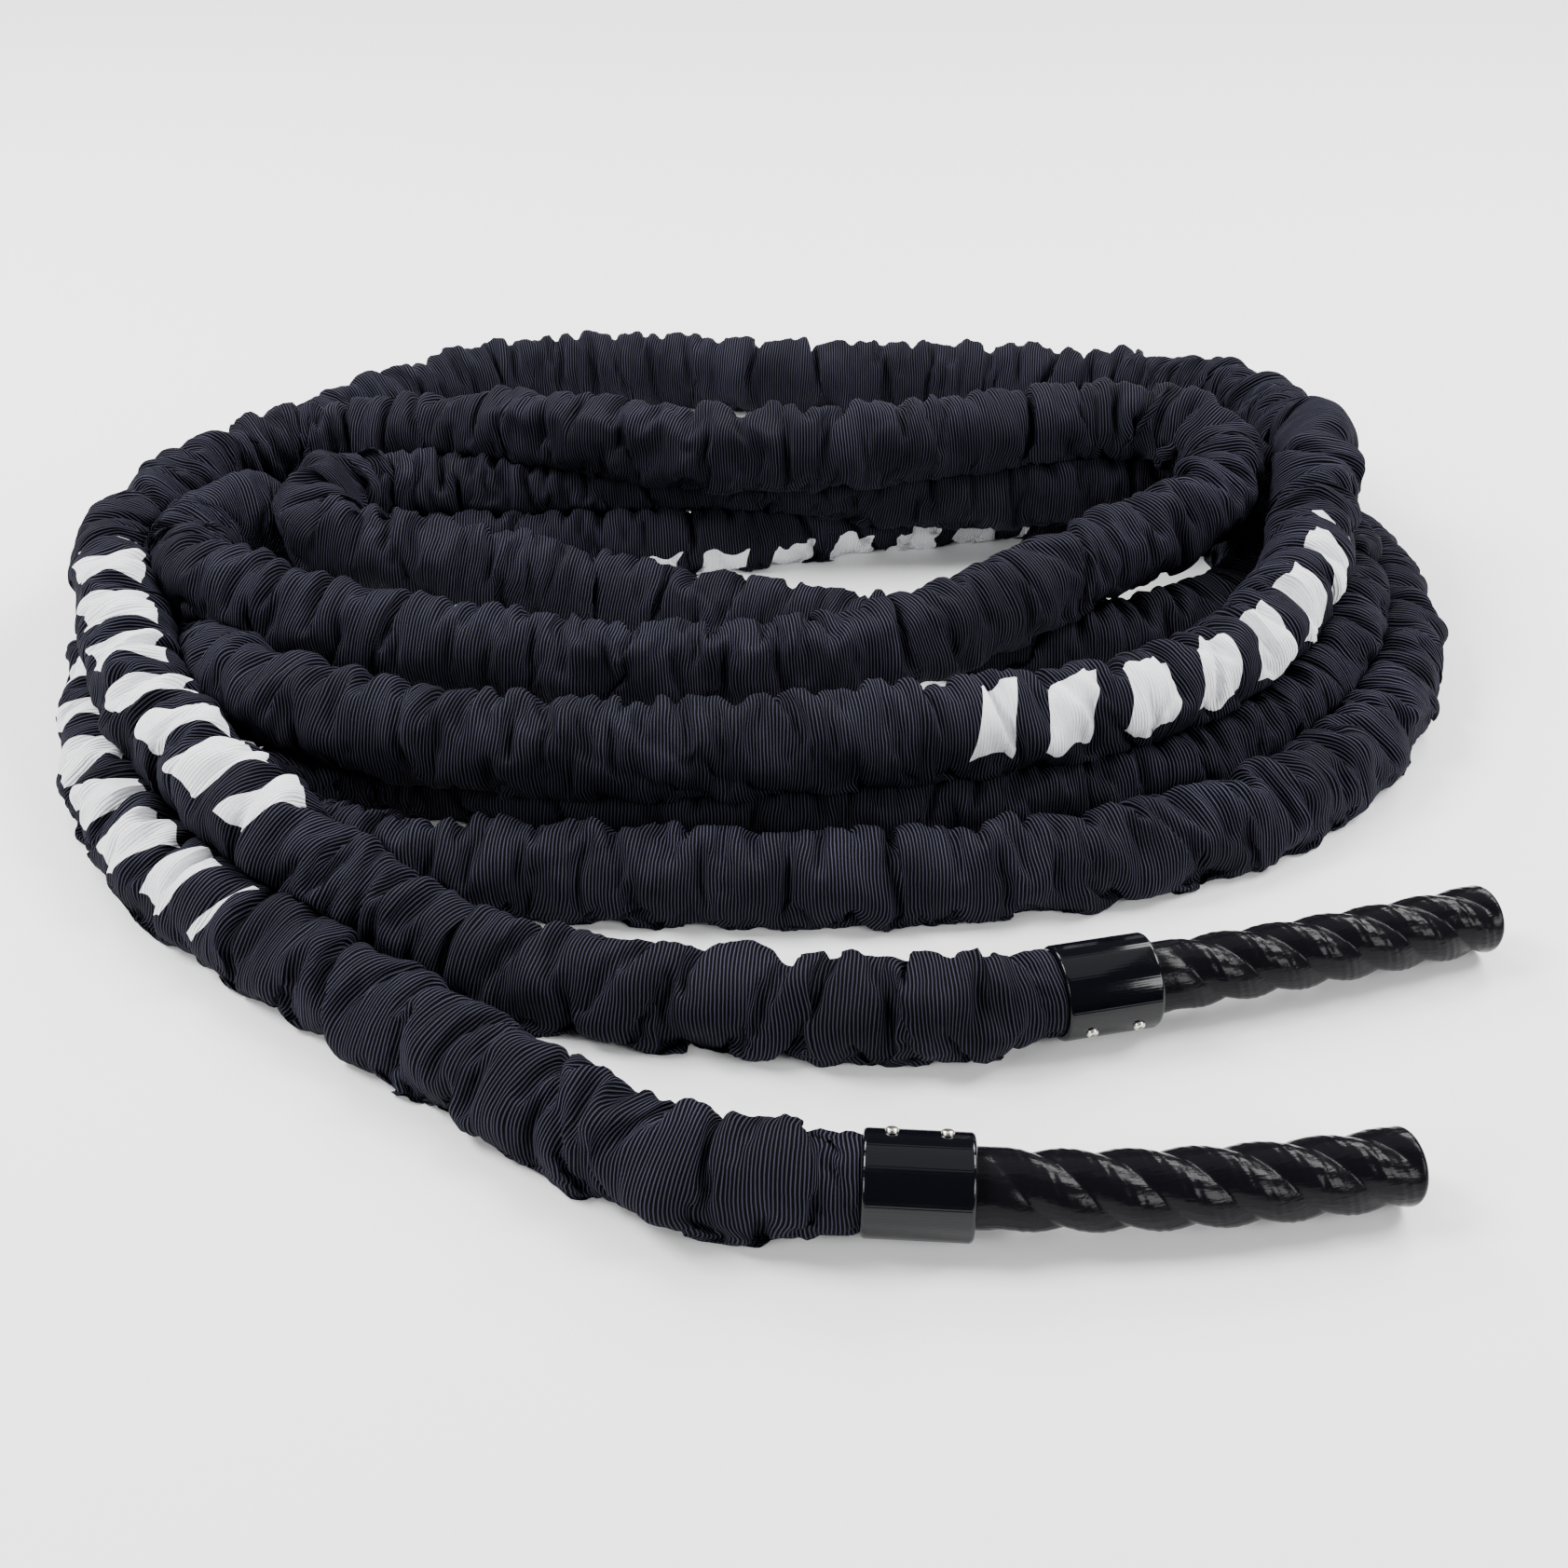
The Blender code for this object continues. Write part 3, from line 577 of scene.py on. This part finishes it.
# %% A smooth curve between the points
def finer(points, axis, closed):
    """Three points for every two along an axis, on a smooth curve through the old ones."""
    points = np.moveaxis(points, axis, 0)
    count = len(points)
    at = np.arange(0, count if closed else count - 1 + 1e-6, 2 / 3)
    first = np.floor(at + 1e-6).astype(int)
    t = (at - first).reshape(-1, *([1] * (points.ndim - 1)))
    near = [first + k for k in (-1, 0, 1, 2)]
    near = [k % count if closed else np.clip(k, 0, count - 1) for k in near]
    a, b, c, d = (points[k] for k in near)
    curve = b + 0.5 * t * (c - a + t * (2 * a - 5 * b + 4 * c - d + t * (3 * (b - c) + d - a)))
    return np.moveaxis(curve, 0, axis)


# %% The finer grid, with its wrinkles
cloth_along = np.r_[0, np.cumsum(rest_along)]
surface = finer(finer(cloth.astype(float), axis=0, closed=False), axis=1, closed=True)
ring_places = finer(centres, axis=0, closed=False)
along_cloth = finer(cloth_along[:, None], axis=0, closed=False)[:, 0]
along_rope = finer(ring_length[:, None], axis=0, closed=False)[:, 0]
out = surface - ring_places[:, None, :]
distance = np.linalg.norm(out, axis=2)
out /= distance[:, :, None]
widest_reach = 0.0385
wrinkle_height = 0.00020
turns_round = math.tau * np.arange(surface.shape[1]) / surface.shape[1]
wrinkles = np.zeros(surface.shape[:2])
for _ in range(16):
    length, turns = seed.uniform(0.008, 0.018), seed.integers(-6, 7)
    wave = math.tau * along_cloth[:, None] / length + turns * turns_round + seed.uniform(0, math.tau)
    patch = math.tau * along_cloth[:, None] / seed.uniform(0.05, 0.2) + seed.uniform(0, math.tau)
    wrinkles += wrinkle_height * np.cos(wave) * np.cos(patch + turns_round)
surface = ring_places[:, None, :] + out * np.minimum(distance + wrinkles, widest_reach)[:, :, None]
surface[:, :, 2] = np.maximum(surface[:, :, 2], lowest / 2)
surface = np.concatenate([surface, surface[:, :1]], axis=1)
print("finer grid", surface.shape[:2], "top", round(surface[:, :, 2].max() * 1000, 1), "mm")

# %% [markdown]
# The sleeve is woven nylon, piece-dyed black, with fine ribs across it. Its yarn is dull, with
# hardly any gloss, so the light on the ribs is painted into the base colour: each rib's crest is a
# painted highlight, lighter than the dye, and each valley a painted shade. The folds get soft
# light from the lamps. The ribs follow the cloth, so they read the sleeve's own UV map, which holds
# metres of cloth along the rope and round it. Real ribs are about 1.7 mm apart. They are drawn
# 2.4 mm apart, because the render would lose finer ones. In four places white ink is printed on
# the cloth: a row of plain slanted bars. A second UV map holds metres from the middle of the
# nearest print. The ink is a little thin where the yarn lies low.

# %% Woven nylon
rib_pitch = 0.0024
# A noise's scale is how many of its grains lie in a metre: the ribs wander over 17 mm, a yarn is
# 1.1 mm thick, and the dye is uneven over 70 mm
wander_grains, yarn_grains, dye_grains = 60.0, 900.0, 14.0
rib_wander, rib_height = 0.0012, 0.0005
nylon, tree, shader = new_material("woven_ribbed_nylon")
cloth_map = add(tree, "UVMap", uv_map="cloth")
split = add(tree, "SeparateXYZ", {0: cloth_map.outputs["UV"]})
wander = add(tree, "TexNoise", {"Vector": cloth_map.outputs["UV"], "Scale": wander_grains, "Detail": 2.0})
nudge = add(tree, "Math", {0: wander.outputs["Fac"], 1: rib_wander}, operation="MULTIPLY")
moved = add(tree, "Math", {0: split.outputs["X"], 1: nudge.outputs[0]}, operation="ADD")
phase = add(tree, "Math", {0: moved.outputs[0], 1: math.tau / rib_pitch}, operation="MULTIPLY")
rib = add(tree, "Math", {0: phase.outputs[0]}, operation="SINE")
yarn = add(tree, "TexNoise", {"Vector": cloth_map.outputs["UV"], "Scale": yarn_grains, "Detail": 3.0})
height = add(tree, "Math", {0: rib.outputs[0], 1: yarn.outputs["Fac"]}, operation="ADD")
ribbed = add(tree, "Bump", {"Height": height.outputs[0], "Strength": 0.8, "Distance": rib_height})
blotch = add(tree, "TexNoise", {"Vector": cloth_map.outputs["UV"], "Scale": dye_grains, "Detail": 3.0})
shade = add(tree, "ValToRGB", {"Fac": blotch.outputs["Fac"]})
shade.color_ramp.elements[0].position = 0.3
shade.color_ramp.elements[0].color = linear("#111117")
shade.color_ramp.elements[1].position = 0.75
shade.color_ramp.elements[1].color = linear("#1A1A22")
# Each rib's crest is painted lighter and its valley darker: a painted highlight and a painted shade in the
# base colour, on top of the dye
painted_rib_light_and_shade = add(tree, "MapRange", {"Value": rib.outputs[0], "From Min": 0.1, "To Min": 0.15, "To Max": 4.8})
dye_with_painted_rib_light = add(tree, "VectorMath", {0: shade.outputs["Color"], 1: painted_rib_light_and_shade.outputs[0]}, operation="MULTIPLY")
print("ribs", rib_pitch * 1000, "mm apart")

# %% The printed bars
print_length, print_height = 0.50, 0.046
bar_pitch, bar_share, bar_lean = 0.072, 0.62, 0.35
print_map = add(tree, "UVMap", uv_map="print")
ink_place = add(tree, "SeparateXYZ", {0: print_map.outputs["UV"]})
leaned = add(tree, "Math", {0: ink_place.outputs["Y"], 1: bar_lean, 2: ink_place.outputs["X"]},
             operation="MULTIPLY_ADD")
row_place = add(tree, "Math", {0: leaned.outputs[0], 1: 1 / bar_pitch}, operation="MULTIPLY")
bar_place = add(tree, "Math", {0: row_place.outputs[0]}, operation="FRACT")
in_bar = add(tree, "Math", {0: bar_place.outputs[0], 1: bar_share}, operation="LESS_THAN")
along_row = add(tree, "Math", {0: leaned.outputs[0]}, operation="ABSOLUTE")
in_row = add(tree, "Math", {0: along_row.outputs[0], 1: print_length / 2}, operation="LESS_THAN")
across_row = add(tree, "Math", {0: ink_place.outputs["Y"]}, operation="ABSOLUTE")
in_height = add(tree, "Math", {0: across_row.outputs[0], 1: print_height / 2}, operation="LESS_THAN")
ink = add(tree, "Math", {0: in_bar.outputs[0], 1: in_row.outputs[0]}, operation="MULTIPLY")
ink = add(tree, "Math", {0: ink.outputs[0], 1: in_height.outputs[0]}, operation="MULTIPLY")
thin_ink = add(tree, "MapRange", {"Value": yarn.outputs["Fac"], "From Min": 0.2, "From Max": 0.45,
                                  "To Min": 0.75, "To Max": 1.0})
ink = add(tree, "Math", {0: ink.outputs[0], 1: thin_ink.outputs[0]}, operation="MULTIPLY")
# Inputs 6 and 7 of a Mix node are its two colours, and its output 2 is the mixed one
inked = add(tree, "Mix", {0: ink.outputs[0], 6: dye_with_painted_rib_light.outputs[0], 7: linear("#E9EAEE")}, data_type="RGBA")
tree.links.new(inked.outputs[2], shader.inputs["Base Color"])
tree.links.new(ribbed.outputs["Normal"], shader.inputs["Normal"])
shader.inputs["Roughness"].default_value = 0.7
shader.inputs["Specular IOR Level"].default_value = 0.03
print(len(tree.nodes), "nodes in the sleeve's material")

# %% [markdown]
# The sleeve is one very long tube, too long for one mesh, so it is made as pieces that meet ring
# to ring: the two tails, and the coil in four. Each piece starts as a flat grid with a UV map.
# Its rows become rings, and its two long edges are merged to close the tube.

# %% Where the prints are
# Each print: its middle, as a length from the front collar, and its angle round the rope
prints = [(0.62, math.radians(66)), (2.68, math.radians(45)), (9.05, math.radians(-32)),
          (11.83, math.radians(96))]


def print_places(rows):
    """Metres from the nearest print's middle, along the cloth and round it, for some rings."""
    nearest = min(prints, key=lambda p: np.abs(along_rope[rows] - run_in - p[0]).min())
    middle = np.interp(nearest[0] + run_in, along_rope, along_cloth)
    columns = surface.shape[1]
    turn = -math.pi / 2 + math.tau * np.arange(columns) / (columns - 1) - nearest[1]
    return along_cloth[rows] - middle, turn * cloth_round / math.tau


# %% Rolling up a grid
def rolled(name, points, maps):
    """A closed tube from rings of points, made from a grid that is rolled up.

    maps gives each UV map's name with the values of its rows and of its columns."""
    rings, columns = points.shape[:2]
    bpy.ops.object.select_all(action="DESELECT")
    bpy.ops.mesh.primitive_grid_add(x_subdivisions=rings - 1, y_subdivisions=columns - 1, size=1)
    piece = bpy.context.object
    piece.name = name
    mesh = piece.data
    flat = np.zeros(len(mesh.vertices) * 3)
    mesh.vertices.foreach_get("co", flat)
    flat = flat.reshape(-1, 3)
    row = np.rint((flat[:, 0] + 0.5) * (rings - 1)).astype(int)
    column = np.rint((flat[:, 1] + 0.5) * (columns - 1)).astype(int)
    mesh.vertices.foreach_set("co", points[row, column].ravel())
    corner = np.zeros(len(mesh.loops), int)
    mesh.loops.foreach_get("vertex_index", corner)
    mesh.uv_layers.remove(mesh.uv_layers[0])
    for map_name, (row_values, column_values) in maps.items():
        uv = np.column_stack([row_values[row[corner]], column_values[column[corner]]])
        mesh.uv_layers.new(name=map_name).data.foreach_set("uv", uv.ravel())
    bpy.ops.object.mode_set(mode="EDIT")
    bpy.ops.mesh.select_all(action="SELECT")
    bpy.ops.mesh.remove_doubles(threshold=0.000001)
    # What is still open is the tube's two ends, and each gets a face
    bpy.ops.mesh.select_all(action="DESELECT")
    bpy.ops.mesh.select_non_manifold()
    bpy.ops.mesh.edge_face_add()
    bpy.ops.mesh.select_all(action="SELECT")
    bpy.ops.mesh.normals_make_consistent(inside=False)
    bpy.ops.object.mode_set(mode="OBJECT")
    bpy.ops.object.shade_smooth_by_angle(angle=math.radians(60))
    return piece


def dress(piece, material, slot, *nodes):
    """Gives a finished piece its material and its body, and hides the nodes it stands for. The slot is not
    used.
    """
    piece.data.materials.clear()
    piece.data.materials.append(material)
    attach(piece, "root")
    if nodes:
        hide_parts(*nodes)


# %% The sleeve's pieces
front_end = at_place[len(front_tail)]
rear_end = at_place[len(front_tail) + len(coil_route)]
quarter = (rear_end - front_end) / 4
cuts = [0, *(front_end + quarter * k for k in range(5)), along_rope[-1]]
cut_rows = np.searchsorted(along_rope, cuts)
cut_rows[-1] = len(along_rope) - 1
sleeve_parts = {"sleeve_tail_front": ["sleeve_front_tail"], "sleeve_loops_1": ["sleeve_coil"],
                "sleeve_loops_2": [], "sleeve_loops_3": [], "sleeve_loops_4": [],
                "sleeve_tail_rear": ["sleeve_rear_tail"]}
columns = surface.shape[1]
for (name, nodes), first, last in zip(sleeve_parts.items(), cut_rows, cut_rows[1:]):
    rows = slice(first, last + 1)
    piece = rolled(name, surface[rows], {
        "cloth": (along_cloth[rows], cloth_round * np.arange(columns) / (columns - 1)),
        "print": print_places(rows)})
    dress(piece, nylon, "sleeve_fabric", *nodes)
    print(name, len(piece.data.polygons), "faces")

# %% [markdown]
# Each end of the rope has a collar, and the grip goes on from it. The grip bends a little to the
# side and down to the floor, so its middle line is a curve that leaves the collar straight.

# %% The two ends
collar_length = 0.057
seam_gap = 0.0003
film_radius = 0.0208
grip_length = 0.224
grip_sweeps = {"front": 0.036, "rear": 0.014}
mouths = {"front": (places[0], places[1]), "rear": (places[-1], places[-2])}


def end_frame(end, along):
    """A place on an end's middle line, at a length from the collar's mouth, and its ways."""
    mouth, one_before = mouths[end]
    straight = (mouth - one_before) / np.linalg.norm(mouth - one_before)
    side = np.cross((0, 0, 1), straight)
    beyond = np.maximum(along - collar_length, 0) / grip_length
    drop = clamp - film_radius - seam_gap
    swing = side * grip_sweeps[end] - np.array((0, 0, drop))
    place = mouth + straight * along[:, None] + swing * beyond[:, None] ** 2
    forward = straight * grip_length + swing * 2 * beyond[:, None]
    forward /= np.linalg.norm(forward, axis=1)[:, None]
    level = np.cross((0, 0, 1), forward)
    level /= np.linalg.norm(level, axis=1)[:, None]
    return place, level, np.cross(forward, level), forward


# %% [markdown]
# The grip is the rope's own end under a film that was shrunk on with hot air. It takes the form
# of the three strands, so its section has three lobes that turn with the rope's lay. It starts
# round at the collar, and the lobes grow. The yarns in the strands show as fine slanted ridges.
# The film closes over the rope's cut end in a flat disc with a rounded edge. It is polyolefin,
# black and satin, and shrank unevenly, so each lobe catches the light in a few small streaks.

# %% Grips
strand_lay = 0.099
groove_depth = 0.0034
film_start = 0.030
tip_round = 0.004
tip_reach = 0.0165
lobes_grow, lobes_fade = 0.034, 0.014
grip_rings, tip_rings = 230, 5
grip_sides = 96
yarn_pitch = 0.0056
yarn_height = 0.00022
yarn_wave = 0.023


def eased(share):
    """A share that leaves 0 and reaches 1 gently."""
    share = np.clip(share, 0, 1)
    return share * share * (3 - 2 * share)


def grip(end):
    """One grip, from inside the collar to its closed tip."""
    side_end = collar_length + grip_length - tip_round
    bend = np.linspace(0, math.pi / 2, 9)[1:]
    along = np.r_[np.linspace(film_start, side_end, grip_rings), side_end + tip_round * np.sin(bend)]
    inset = np.r_[np.zeros(grip_rings), tip_round * (1 - np.cos(bend))]
    along = np.r_[along, np.full(tip_rings, along[-1])]
    inset = np.r_[inset, tip_round + tip_reach * np.linspace(0.15, 0.995, tip_rings)]
    place, level, high, _ = end_frame(end, along)
    beyond = along - collar_length
    angle = math.tau * np.arange(grip_sides + 1) / grip_sides
    growth = eased(beyond / lobes_grow) * eased((grip_length - beyond) / lobes_fade)
    lean = angle[None, :] - math.tau * beyond[:, None] / strand_lay
    crest = ((1 + np.cos(3 * lean)) / 2) ** 0.5
    radius = film_radius - groove_depth * growth[:, None] * (1 - crest)
    yarns = np.cos(7 * angle[None, :] - math.tau * beyond[:, None] / yarn_pitch) * crest ** 2
    stronger = 0.65 + 0.35 * np.sin(math.tau * beyond[:, None] / yarn_wave + 2 * angle[None, :])
    radius += yarn_height * growth[:, None] * yarns * stronger
    radius = np.maximum(radius - inset[:, None], 0.0001)
    points = (place[:, None, :] + level[:, None, :] * (radius * np.cos(angle))[:, :, None]
              + high[:, None, :] * (radius * np.sin(angle))[:, :, None])
    return rolled("film_grip_" + end, points, {"film": (along, film_radius * angle)})


# %% Shrunk polyolefin, and the two grips
# Grains in a metre again: streaks 11 mm long and 2.4 mm wide, and pores of 1.4 mm
streak_grains, pore_grains = (90.0, 420.0, 1.0), 700.0
streak_height = 0.0006
film, tree, shader = new_material("heat_shrunk_polyolefin")
film_map = add(tree, "UVMap", uv_map="film")
lay_way = add(tree, "Mapping", {"Vector": film_map.outputs["UV"], "Rotation": (0, 0, 0.6),
                                "Scale": streak_grains})
streaks = add(tree, "TexNoise", {"Vector": lay_way.outputs[0], "Scale": 1.0, "Detail": 3.0})
pores = add(tree, "TexNoise", {"Vector": film_map.outputs["UV"], "Scale": pore_grains, "Detail": 2.0})
relief = add(tree, "Math", {0: pores.outputs["Fac"], 1: 0.3, 2: streaks.outputs["Fac"]},
             operation="MULTIPLY_ADD")
uneven = add(tree, "Bump", {"Height": relief.outputs[0], "Strength": 0.5, "Distance": streak_height})
satin = add(tree, "MapRange", {"Value": streaks.outputs["Fac"], "To Min": 0.15, "To Max": 0.24})
tree.links.new(uneven.outputs["Normal"], shader.inputs["Normal"])
tree.links.new(satin.outputs[0], shader.inputs["Roughness"])
shader.inputs["Base Color"].default_value = linear("#0C0B0F")
shader.inputs["Specular IOR Level"].default_value = 0.08
for end in mouths:
    piece = grip(end)
    dress(piece, film, "grip_film", "grip_" + end)
    print(piece.name, len(piece.data.polygons), "faces")

# %% [markdown]
# The collar is a tube of moulded ABS, black with a high gloss, so it shows dark reflections with
# sharp edges, barely uneven from the mould's flow. A cylinder is added at its size, its two end
# faces are inset by the wall, and bridging the inset faces opens the bore. Then the rims are
# bevelled: the outer ones wide, since they make the glints, and the inner ones barely. One
# collar is made upright at the origin, and a copy with its own mesh is put on each end.


# %% Copying, placing and picking edges
def place_copy(original, name, matrix):
    """A copy with its own mesh, moved by a matrix that is then applied to the mesh."""
    bpy.ops.object.select_all(action="DESELECT")
    piece = original.copy()
    piece.data = original.data.copy()
    piece.name = name
    bpy.context.scene.collection.objects.link(piece)
    piece.select_set(True)
    bpy.context.view_layer.objects.active = piece
    piece.matrix_world = matrix
    bpy.ops.object.transform_apply(location=True, rotation=True, scale=True)
    return piece


def select_edges(piece, wanted):
    """Selects the edges whose two ends both pass a test, in edit mode."""
    bpy.ops.mesh.select_all(action="DESELECT")
    bpy.ops.object.mode_set(mode="OBJECT")
    bpy.context.tool_settings.mesh_select_mode = (False, True, False)
    for edge in piece.data.edges:
        edge.select = all(wanted(piece.data.vertices[v].co) for v in edge.vertices)
    bpy.ops.object.mode_set(mode="EDIT")


# %% Collars
collar_radius = 0.0275
collar_wall = 0.0032
rim_round, bore_round = 0.0024, 0.0006


def collar(name):
    """One collar, bored and bevelled, upright at the origin."""
    bpy.ops.object.select_all(action="DESELECT")
    bpy.ops.mesh.primitive_cylinder_add(vertices=96, radius=collar_radius, depth=collar_length)
    piece = bpy.context.object
    piece.name = name
    bpy.ops.object.mode_set(mode="EDIT")
    bpy.context.tool_settings.mesh_select_mode = (False, False, True)
    bpy.ops.mesh.select_all(action="DESELECT")
    bpy.ops.object.mode_set(mode="OBJECT")
    for face in piece.data.polygons:
        face.select = abs(face.normal.z) > 0.9
    bpy.ops.object.mode_set(mode="EDIT")
    bpy.ops.mesh.inset(thickness=collar_wall)
    bpy.ops.mesh.bridge_edge_loops()
    half = collar_length / 2 - 0.0001
    middle = collar_radius - collar_wall / 2
    select_edges(piece, lambda co: abs(co.z) > half and math.hypot(co.x, co.y) > middle)
    bpy.ops.mesh.bevel(offset=rim_round, segments=7, affect="EDGES")
    select_edges(piece, lambda co: abs(co.z) > half and math.hypot(co.x, co.y) < middle - 0.0008)
    bpy.ops.mesh.bevel(offset=bore_round, segments=3, affect="EDGES")
    bpy.ops.mesh.select_all(action="SELECT")
    bpy.ops.mesh.normals_make_consistent(inside=False)
    bpy.ops.object.mode_set(mode="OBJECT")
    bpy.ops.object.shade_smooth_by_angle(angle=math.radians(40))
    return piece


# %% Moulded ABS, and the two collars
# Grains in a metre: the waves from the flow are 17 mm wide, and the haze has spots of 0.7 mm
flow_grains, haze_grains = 60.0, 1400.0
flow_height = 0.0004
gloss, tree, shader = new_material("moulded_gloss_abs")
here = add(tree, "TexCoord")
flow = add(tree, "TexNoise", {"Vector": here.outputs["Object"], "Scale": flow_grains, "Detail": 2.0})
haze = add(tree, "TexNoise", {"Vector": here.outputs["Object"], "Scale": haze_grains, "Detail": 2.0})
waves = add(tree, "Bump", {"Height": flow.outputs["Fac"], "Strength": 0.15, "Distance": flow_height})
hazed = add(tree, "MapRange", {"Value": haze.outputs["Fac"], "From Min": 0.4, "From Max": 0.75,
                               "To Min": 0.07, "To Max": 0.16})
tree.links.new(waves.outputs["Normal"], shader.inputs["Normal"])
tree.links.new(hazed.outputs[0], shader.inputs["Roughness"])
shader.inputs["Base Color"].default_value = linear("#05060A")
shader.inputs["Specular IOR Level"].default_value = 0.25
first_collar = collar("gloss_collar")
for end in mouths:
    where, level, high, forward = (v[0] for v in end_frame(end, np.array([collar_length / 2])))
    turn = Matrix(np.column_stack([level, high, forward]).tolist()).to_4x4()
    piece = place_copy(first_collar, "gloss_collar_" + end, Matrix.Translation(Vector(where)) @ turn)
    dress(piece, gloss, "collar_plastic", "collar_" + end)
    print(piece.name, len(piece.data.polygons), "faces")
bpy.data.objects.remove(first_collar, do_unlink=True)

# %% [markdown]
# Two pan-head screws hold each collar, 28 mm apart. A head is a short cylinder whose top edge is
# bevelled into a dome, and a cross is cut out of it. One screw is made and copied to the four
# places, each copy with its own mesh. They are zinc-plated steel: bright, with a grain of 0.4 mm
# that softens the reflections.

# %% Screws
screw_head_diameter = 0.0070
screw_head_height = 0.0022
dome_round = 0.0017
recess_size = (0.0040, 0.0010, 0.0024)
screw_gap = 0.0001
screw_pitch = 0.028
screw_angles = {"front": math.radians(64), "rear": math.radians(199)}


def screw(name):
    """One screw, upright at the origin, with its head's underside at zero."""
    bpy.ops.object.select_all(action="DESELECT")
    bpy.ops.mesh.primitive_cylinder_add(vertices=40, radius=screw_head_diameter / 2,
                                        depth=screw_head_height, location=(0, 0, screw_head_height / 2))
    piece = bpy.context.object
    piece.name = name
    bpy.ops.object.transform_apply(location=True)
    bpy.ops.object.mode_set(mode="EDIT")
    select_edges(piece, lambda co: co.z > screw_head_height - 0.0001)
    bpy.ops.mesh.bevel(offset=dome_round, segments=7, affect="EDGES")
    bpy.ops.object.mode_set(mode="OBJECT")
    for turn in (0, math.pi / 2):
        bpy.ops.mesh.primitive_cube_add(size=1, location=(0, 0, screw_head_height))
        slot = bpy.context.object
        slot.scale = recess_size
        slot.rotation_euler = (0, 0, turn)
        cut = piece.modifiers.new("recess", "BOOLEAN")
        cut.operation = "DIFFERENCE"
        cut.object = slot
        bpy.context.view_layer.objects.active = piece
        bpy.ops.object.modifier_apply(modifier="recess")
        bpy.data.objects.remove(slot, do_unlink=True)
    bpy.ops.object.select_all(action="DESELECT")
    piece.select_set(True)
    bpy.context.view_layer.objects.active = piece
    bpy.ops.object.shade_smooth_by_angle(angle=math.radians(35))
    return piece


# %% Zinc-plated steel, and the four screws
zinc_grains = 2500.0
steel, tree, shader = new_material("zinc_plated_steel")
here = add(tree, "TexCoord")
grain = add(tree, "TexNoise", {"Vector": here.outputs["Object"], "Scale": zinc_grains, "Detail": 2.0})
worn = add(tree, "MapRange", {"Value": grain.outputs["Fac"], "To Min": 0.18, "To Max": 0.38})
tree.links.new(worn.outputs[0], shader.inputs["Roughness"])
shader.inputs["Metallic"].default_value = 1
shader.inputs["Base Color"].default_value = linear("#D9D7CF")
first_screw = screw("pan_head")
for end in mouths:
    for number, side in enumerate(("inner", "outer")):
        along = collar_length / 2 + (number - 0.5) * screw_pitch
        where, _, _, forward = (v[0] for v in end_frame(end, np.array([along])))
        side_way = np.cross((0, 0, 1), forward)
        out = Vector(side_way * math.cos(screw_angles[end]) + np.array((0, 0, math.sin(screw_angles[end]))))
        turn = out.to_track_quat("Z", "Y").to_matrix().to_4x4()
        seat = Matrix.Translation(Vector(where) + out * (collar_radius + screw_gap))
        # The crosses of a collar's two screws point different ways
        cross_turn = Matrix.Rotation(0.5 + number, 4, "Z")
        piece = place_copy(first_screw, "pan_head_" + end + "_" + side, seat @ turn @ cross_turn)
        dress(piece, steel, "screw_steel", "screw_" + end + "_" + side)
bpy.data.objects.remove(first_screw, do_unlink=True)
print("4 screws")

# %% [markdown]
# The rope's core shows nowhere, but it is there: three strands of laid polyester, dark and dull.
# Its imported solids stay, and get a material with the lay of the yarns, about 10 mm apart.

# %% The core's material
core, tree, shader = new_material("laid_polyester_rope")
here = add(tree, "TexCoord")
laid = add(tree, "TexWave", {"Vector": here.outputs["Object"], "Scale": 30.0, "Distortion": 1.0})
strands = add(tree, "ValToRGB", {"Fac": laid.outputs["Fac"]})
strands.color_ramp.elements[0].color = linear("#1C1C1E")
strands.color_ramp.elements[1].color = linear("#303033")
twist = add(tree, "Bump", {"Height": laid.outputs["Fac"], "Strength": 0.6, "Distance": 0.001})
tree.links.new(strands.outputs["Color"], shader.inputs["Base Color"])
tree.links.new(twist.outputs["Normal"], shader.inputs["Normal"])
shader.inputs["Roughness"].default_value = 0.8
for name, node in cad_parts.items():
    if name.startswith("core_"):
        node.data.materials.clear()
        node.data.materials.append(core)

# %% Finish
bpy.context.view_layer.update()
